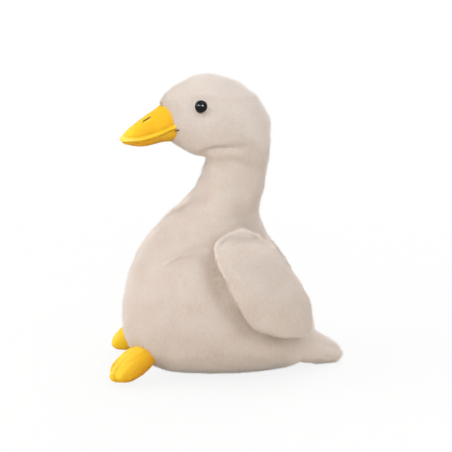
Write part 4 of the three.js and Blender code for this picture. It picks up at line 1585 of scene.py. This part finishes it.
@dataclass
class Tail(Furred):
    """The tail: a blunt cone of fur fabric that lies on the surface."""

    rows: Rows = (
        (-36.0, -6.0, 18.0, 26.0),
        (-30.0, -10.0, 36.0, 45.0),
        (-20.0, -12.0, 41.0, 50.0),
        (-12.0, -14.0, 37.0, 45.0),
        (-4.0, -16.0, 29.5, 38.0),
        (3.0, -18.0, 22.5, 32.0),
        (11.4, -19.4, 16.4, 26.8),
        (22.0, -20.0, 10.0, 21.0),
        (30.4, -19.3, 3.4, 14.5),
        (35.7, -15.0, -2.2, 8.0),
        (38.0, -8.5, -8.5, 0.0),
    )
    pivot: Place = (100.0, 0.0, 20.5)
    inset: float = 3.8
    slack: float = 2.0
    voxel: float = 5.0
    mesh: tuple[int, int] = (84, 112)
    seed: int = 700

    def build(self, wardrobe: Wardrobe) -> None:
        """Builds the skin and grows its pile.

        Args:
            wardrobe: The finishes.
        """
        axes = Axes(self.pivot, (0, 0, 1), (0, -1, 0), (1, 0, 0))
        count, columns = self.mesh
        outline = axes.place(rings(through(table(self.rows), count), columns))
        inside = np.array([100.0, 0.0, 18.0])
        depth = self.inset + self.slack + 0.6 * Noise.TAIL.at(outline)
        shell = Shell.of(on_ground(sewn_bag(outline, inside, depth, self.slack, self.voxel)))
        ride = Ride("torso", "tail", (84, 0, 20), (104, 0, 20))
        skin = shell.build("tail_fur_fabric")
        dress(skin, wardrobe.backing, ride, ("tail_skin", "tail_filling"))
        self.grow_fur("tail", shell, wardrobe.pile, ride, self.seed)

    def keep(self, roots: Roots) -> Array:
        """The roots that lie outside the body and off the ground."""
        grounded = (roots.points[:, 2] < 3) & (roots.normals[:, 2] < -0.5)
        return ~grounded & (roots.points[:, 0] > 66) & ~Body().holds(roots.points, 4.5)

    def comb(self, roots: Roots) -> Array:
        """Back to the tip and a little down."""
        return roots.lying(1.0, 0.0, -0.35)

    def shortening(self, roots: Roots) -> Array:
        """Longer towards the tip, where the pile ends in a soft brush."""
        return 1 + 0.7 * rise(roots.points[:, 0], 112, 20)


@dataclass
class Wing(Furred):
    """A wing: a plump, leaf-shaped pad of fur fabric sewn along the shoulder."""

    side: Side
    rows: Rows = (
        (-110.0, 56.0, 56.0, 0.0, 34.0),
        (-107.5, 36.0, 72.0, 5.6, 34.0),
        (-101.5, 15.5, 77.5, 9.4, 34.0),
        (-90.0, -2.5, 79.7, 12.2, 34.0),
        (-66.5, -17.5, 75.6, 13.4, 32.4),
        (-45.6, -25.5, 65.5, 13.4, 26.5),
        (-24.4, -31.0, 51.5, 12.6, 16.3),
        (-8.5, -33.0, 41.5, 10.4, 6.0),
        (0.0, -32.0, 33.5, 7.8, 0.0),
        (6.4, -25.0, 26.0, 5.0, -3.2),
        (10.5, 4.0, 4.0, 0.0, -5.0),
    )
    yaw: float = 22.0
    pivot: Place = (5.0, 64.0, 168.0)
    inset: float = 2.1
    slack: float = 2.5
    voxel: float = 5.0
    mesh: tuple[int, int] = (80, 112)
    seeds: tuple[int, int] = (900, 60)

    def axes(self) -> Axes:
        """The wing's frame: along the shoulder to the back, outwards and up.

        Returns:
            The frame.
        """
        yaw = math.radians(self.yaw)
        y = self.side.value
        along = (math.cos(yaw), -y * math.sin(yaw), 0.0)
        out = (y * math.sin(yaw), math.cos(yaw), 0.0)
        return Axes(tuple(self.side.of(self.pivot)), along, out, (0, 0, 1))

    def build(self, wardrobe: Wardrobe) -> None:
        """Builds the pad and grows its pile, shorter on the side that faces the body.

        Args:
            wardrobe: The finishes.
        """
        mirrored = tuple((*row[:4], self.side.value * row[4]) for row in self.rows)
        count, columns = self.mesh
        outline = self.axes().place(rings(through(table(mirrored), count), columns))
        depth = self.inset + self.slack + 0.7 * Noise.WING.at(outline, self.side.value)
        middle = outline.reshape(-1, 3).mean(axis=0)
        shell = Shell.of(sewn_bag(outline, middle, depth, self.slack, self.voxel))
        word = f"{self.side.word}_wing"
        ride = Ride(word)
        skin = shell.build(f"{word}_fur_fabric")
        dress(skin, wardrobe.backing, ride, (f"{word}_skin", f"{word}_filling"))
        seed, apart = self.seeds
        self.grow_fur(word, shell, wardrobe.pile, ride, seed + apart * self.side.value)

    def inner(self, roots: Roots) -> Array:
        """How far a root faces the body, from 0 to 1."""
        return np.clip(-roots.normals[:, 1] * self.side.value, 0, 1)

    def shortening(self, roots: Roots) -> Array:
        """Shorter on the face that lies against the body."""
        return 1 - 0.3 * self.inner(roots)

    def tone(self, roots: Roots) -> Array:
        """Paler on the face that lies against the body: painted light that lifts the shade between wing and
        body.
        """
        return super().tone(roots) + 0.3 * self.inner(roots)

    def comb(self, roots: Roots) -> Array:
        """Down and back, and over the seam towards the body along the shoulder.

        Args:
            roots: The roots.

        Returns:
            One direction for each root.
        """
        shoulder = rise(roots.points[:, 2], 169, 8)[:, None]
        over = np.array([0.3, -0.8 * self.side.value, 0.1])
        return super().comb(roots) * (1 - shoulder) + over * shoulder


@dataclass
class Foot:
    """A foot: a webbed pad whose toes are drawn apart by two sewn grooves."""

    side: Side
    rows: Rows = (
        (-17.0, 25.0, 25.0, 0.0),
        (-15.6, 8.0, 40.0, 7.2),
        (-13.6, -2.0, 44.0, 10.2),
        (-10.2, -10.0, 46.5, 13.8),
        (-6.1, -15.0, 45.0, 12.9),
        (-2.7, -15.1, 49.5, 14.7),
        (0.0, -15.1, 50.5, 15.0),
        (2.7, -15.1, 49.5, 14.7),
        (6.1, -15.0, 45.0, 12.9),
        (10.2, -10.0, 46.5, 13.8),
        (13.6, -2.0, 44.0, 10.2),
        (15.6, 8.0, 40.0, 7.2),
        (17.0, 25.0, 25.0, 0.0),
    )
    ring_count: int = 96
    columns: int = 88
    scatter_seed: int = 92
    seeds: tuple[int, int] = (400, 20)
    splay: float = 20.0
    pitch: float = 29.0
    pivot: Place = (-98.0, 48.0, 34.0)
    groove: float = 6.12
    nap: float = 0.7
    slack: float = 1.2
    voxel: float = 4.0
    thread: float = 1.4

    def axes(self) -> Axes:
        """The foot's frame: forward to the toes, out of its upper face, and across.

        Returns:
            The frame.
        """
        splay, pitch = math.radians(self.splay), math.radians(self.pitch)
        y = self.side.value
        heading = np.array([-math.cos(splay), y * math.sin(splay), 0.0])
        across = np.cross(heading, [0, 0, 1.0])
        forward = heading * math.cos(pitch) - np.array([0, 0, math.sin(pitch)])
        upper = np.cross(across, forward)
        return Axes(tuple(self.side.of(self.pivot)), tuple(forward), tuple(upper), tuple(across))

    def build(self, wardrobe: Wardrobe) -> None:
        """Builds the pad with its grooves, grows the nap and sews the toe stitches.

        A groove is a bell curve across the foot. The one nearer the duck's middle is drawn deeper.

        Args:
            wardrobe: The finishes.
        """
        rows = through(table(self.rows), self.ring_count)
        local = rings(rows, self.columns)
        outline = self.axes().place(local)
        middle = outline.reshape(-1, 3).mean(axis=0)
        points = sewn_bag(outline, middle, self.slack, self.slack, self.voxel)
        normals = grid_normals(points, middle)
        across = self.side.value * local[..., 2]
        sewn = 4.0 * bell(across, -self.groove, 2.0) + 1.4 * bell(across, self.groove, 1.6)
        lumps = 0.3 * Noise.FOOT.at(points, self.side.value)
        pulled = points - normals * (self.nap + sewn * rise(local[..., 0], 24, 12) + lumps)[..., None]
        shell = Shell.of(on_ground(pulled))
        word = f"{self.side.word}_foot"
        slot, ride = "yellow_plush", Ride(word)
        replaced = (f"{word}_skin", f"{word}_filling")
        dress(shell.build(f"{word}_plush"), wardrobe.foot_cloth, ride, replaced)
        roots = Roots.on(shell, NAP.density, self.scatter_seed + self.side.value)
        # Painted light: the nap is paler where it faces up; it is paler towards the toes too
        tone = 0.32 + 0.3 * roots.normals[:, 2] + 0.35 * fall(roots.points[:, 0], -100, 36)
        comb, (seed, apart) = roots.lying(-0.8, 0.0, -0.6), self.seeds
        seed += apart * self.side.value
        grow(f"{word}_nap", roots, NAP, wardrobe.foot_pile, ride, seed, tone, comb)
        self.stitches(pulled, normals, rows[:, 0], wardrobe.orange_thread, ride)

    def stitches(
        self, skin: Array, normals: Array, along: Array, thread: bpy.types.Material, ride: Ride
    ) -> None:
        """Sews a thread along each groove, over the toes' upper side, with its ends sunk in the cloth.

        Args:
            skin: The pad's ring grid.
            normals: Its normals.
            along: Where each ring lies across the foot.
            thread: The thread's finish.
            ride: How the stitches move.
        """
        angle = np.arange(self.columns) * 2 * np.pi / self.columns
        chosen = (angle > 0.01 * np.pi) & (angle < 0.3 * np.pi)
        for end, place in ((-1, "first"), (1, "second")):
            ring = int(np.abs(along - end * self.groove).argmin())
            out = normals[ring][chosen]
            path = skin[ring][chosen] + out * 0.25
            path[[0, -1]] -= out[[0, -1]] * 0.9
            name = f"{self.side.word}_{place}_toe"
            sewn = Shell.of(tube(path, self.thread / 2, 9)).build(f"{name}_thread")
            dress(sewn, thread, ride, (f"{name}_stitch",))


# The set


def aimed(name: str, data: bpy.types.ID, place: Vector, heading: Vector) -> bpy.types.Object:
    """Hangs a camera or lamp at a place, looking along a heading.

    Args:
        name: The object's name.
        data: The camera or lamp.
        place: Where it hangs, in metres.
        heading: Where it looks.

    Returns:
        The object, linked to the scene.
    """
    thing = bpy.data.objects.new(name, data)
    thing.location = place
    thing.rotation_euler = heading.to_track_quat("-Z", "Y").to_euler()
    bpy.context.collection.objects.link(thing)
    return thing


@dataclass(frozen=True)
class Lamp:
    """A soft round lamp: its place and diameter in metres, and its power in watts.

    A lamp that only glints shows in the glossy eyes, and matt cloth takes no light from it.
    """

    name: str
    place: Place
    size: float
    watts: float
    only_glints: bool = False

    def hang(self, target: Vector) -> None:
        """Adds the lamp, looking at the target.

        Args:
            target: What it looks at, in metres.
        """
        data = bpy.data.lights.new(self.name, "AREA")
        data.shape, data.size, data.energy = "DISK", self.size, self.watts
        place = Vector(self.place)
        aimed(self.name, data, place, target - place).visible_diffuse = not self.only_glints


LAMPS = (
    Lamp("key", (-2.3, -0.3, 1.45), 2.2, 30.0),
    Lamp("front", (-0.3, -2.3, 1.5), 1.6, 16.0),
    Lamp("top", (0.6, -0.6, 2.3), 1.8, 8.0),
    Lamp("back", (1.3, 1.9, 1.7), 2.0, 12.0),
    Lamp("left_catch", (-1.45, -1.55, 1.35), 0.35, 45.0, True),
    Lamp("right_catch", (0.66, -2.1, 1.45), 0.35, 120.0, True),
)
WHITE = (1.0, 1.0, 1.0, 1.0)


@dataclass
class Studio:
    """A plain pale floor, soft light and the photograph's point of view."""

    target: Place = (-0.0028, 0.0, 0.172)
    distance: float = 1.2
    azimuth: float = -5.0
    elevation: float = 12.0
    focal_pixels: float = 1022.0
    picture_pixels: float = 452.0
    sensor: float = 36.0
    ambient: float = 0.82
    floor_reach: float = 30.0

    def camera(self) -> None:
        """Places the camera on the line from the target at its azimuth and elevation."""
        azimuth, elevation = math.radians(self.azimuth), math.radians(self.elevation)
        level = math.cos(elevation)
        forward = Vector((-math.sin(azimuth) * level, math.cos(azimuth) * level, -math.sin(elevation)))
        data = bpy.data.cameras.new("camera")
        data.sensor_width = self.sensor
        data.lens = self.focal_pixels / self.picture_pixels * self.sensor
        place = Vector(self.target) - forward * self.distance
        bpy.context.scene.camera = aimed("camera", data, place, forward)

    def world(self) -> None:
        """Lights from all sides, and shows white to the camera, glossy and see-through rays."""
        world = bpy.data.worlds.new("studio")
        bpy.context.scene.world = world
        world.use_nodes = True
        tree = world.node_tree
        tree.nodes.clear()
        soft = add_node(tree, "Background", Color=WHITE, Strength=self.ambient)
        white = add_node(tree, "Background", Color=WHITE, Strength=1.0)
        seen = self.seen_directly(tree)
        mix = add_node(tree, "MixShader", i0=seen, i1=soft.outputs[0], i2=white.outputs[0])
        add_node(tree, "OutputWorld", Surface=mix.outputs[0])

    @staticmethod
    def seen_directly(tree: bpy.types.NodeTree) -> bpy.types.NodeSocket:
        """One where a ray comes from the camera or by way of metal or glass, otherwise zero.

        Args:
            tree: The node tree of a material or of the world.

        Returns:
            The socket that carries it.
        """
        path = add_node(tree, "LightPath").outputs
        larger = {"operation": "MAXIMUM"}
        pair = add_node(tree, "Math", larger, i0=path["Is Camera Ray"], i1=path["Is Glossy Ray"])
        both = add_node(tree, "Math", larger, i0=pair.outputs[0], i1=path["Is Transmission Ray"])
        return both.outputs[0]

    def floor(self) -> None:
        """Lays a wide pale floor that keeps the duck's shadow, and fades to white away from it."""
        reach = self.floor_reach
        mesh = bpy.data.meshes.new("floor")
        corners = [(-reach, -reach, 0), (reach, -reach, 0), (reach, reach, 0), (-reach, reach, 0)]
        mesh.from_pydata(corners, [], [(0, 1, 2, 3)])
        thing = bpy.data.objects.new("floor", mesh)
        bpy.context.collection.objects.link(thing)
        material, tree = new_material("white_paper")
        pale = linear("e2e1df")
        paper = add_node(tree, "BsdfPrincipled", Base_Color=pale, Roughness=0.9, Specular_IOR_Level=0.1)
        glow = add_node(tree, "Emission", Color=WHITE, Strength=1.0)
        place = add_node(tree, "TexCoord").outputs["Object"]
        away = add_node(tree, "VectorMath", {"operation": "LENGTH"}, i0=place).outputs["Value"]
        far = add_node(tree, "MapRange", Value=away, From_Min=0.3, From_Max=1.3, To_Min=0.87, To_Max=1.0)
        seen, share = self.seen_directly(tree), far.outputs["Result"]
        white = add_node(tree, "Math", {"operation": "MULTIPLY"}, i0=seen, i1=share).outputs[0]
        mix = add_node(tree, "MixShader", i0=white, i1=paper.outputs[0], i2=glow.outputs[0])
        add_node(tree, "OutputMaterial", Surface=mix.outputs[0])
        mesh.materials.append(material)

    def build(self) -> None:
        """Sets up the whole studio."""
        bpy.context.scene.view_settings.view_transform = "Standard"
        self.world()
        self.floor()
        for lamp in LAMPS:
            lamp.hang(Vector(self.target))
        self.camera()


def main() -> None:
    """Builds the duck from its sub-assemblies, in order."""
    logging.basicConfig(level=logging.INFO, format="%(name)s: %(message)s")
    Studio().build()
    wardrobe = Wardrobe.stocked()
    bill = Bill()
    bill.build(wardrobe)
    Body().build(wardrobe, bill)
    Tail().build(wardrobe)
    for side in Side:
        Eye(side).build(wardrobe)
        Wing(side).build(wardrobe)
        Foot(side).build(wardrobe)


if __name__ == "__main__":
    main()
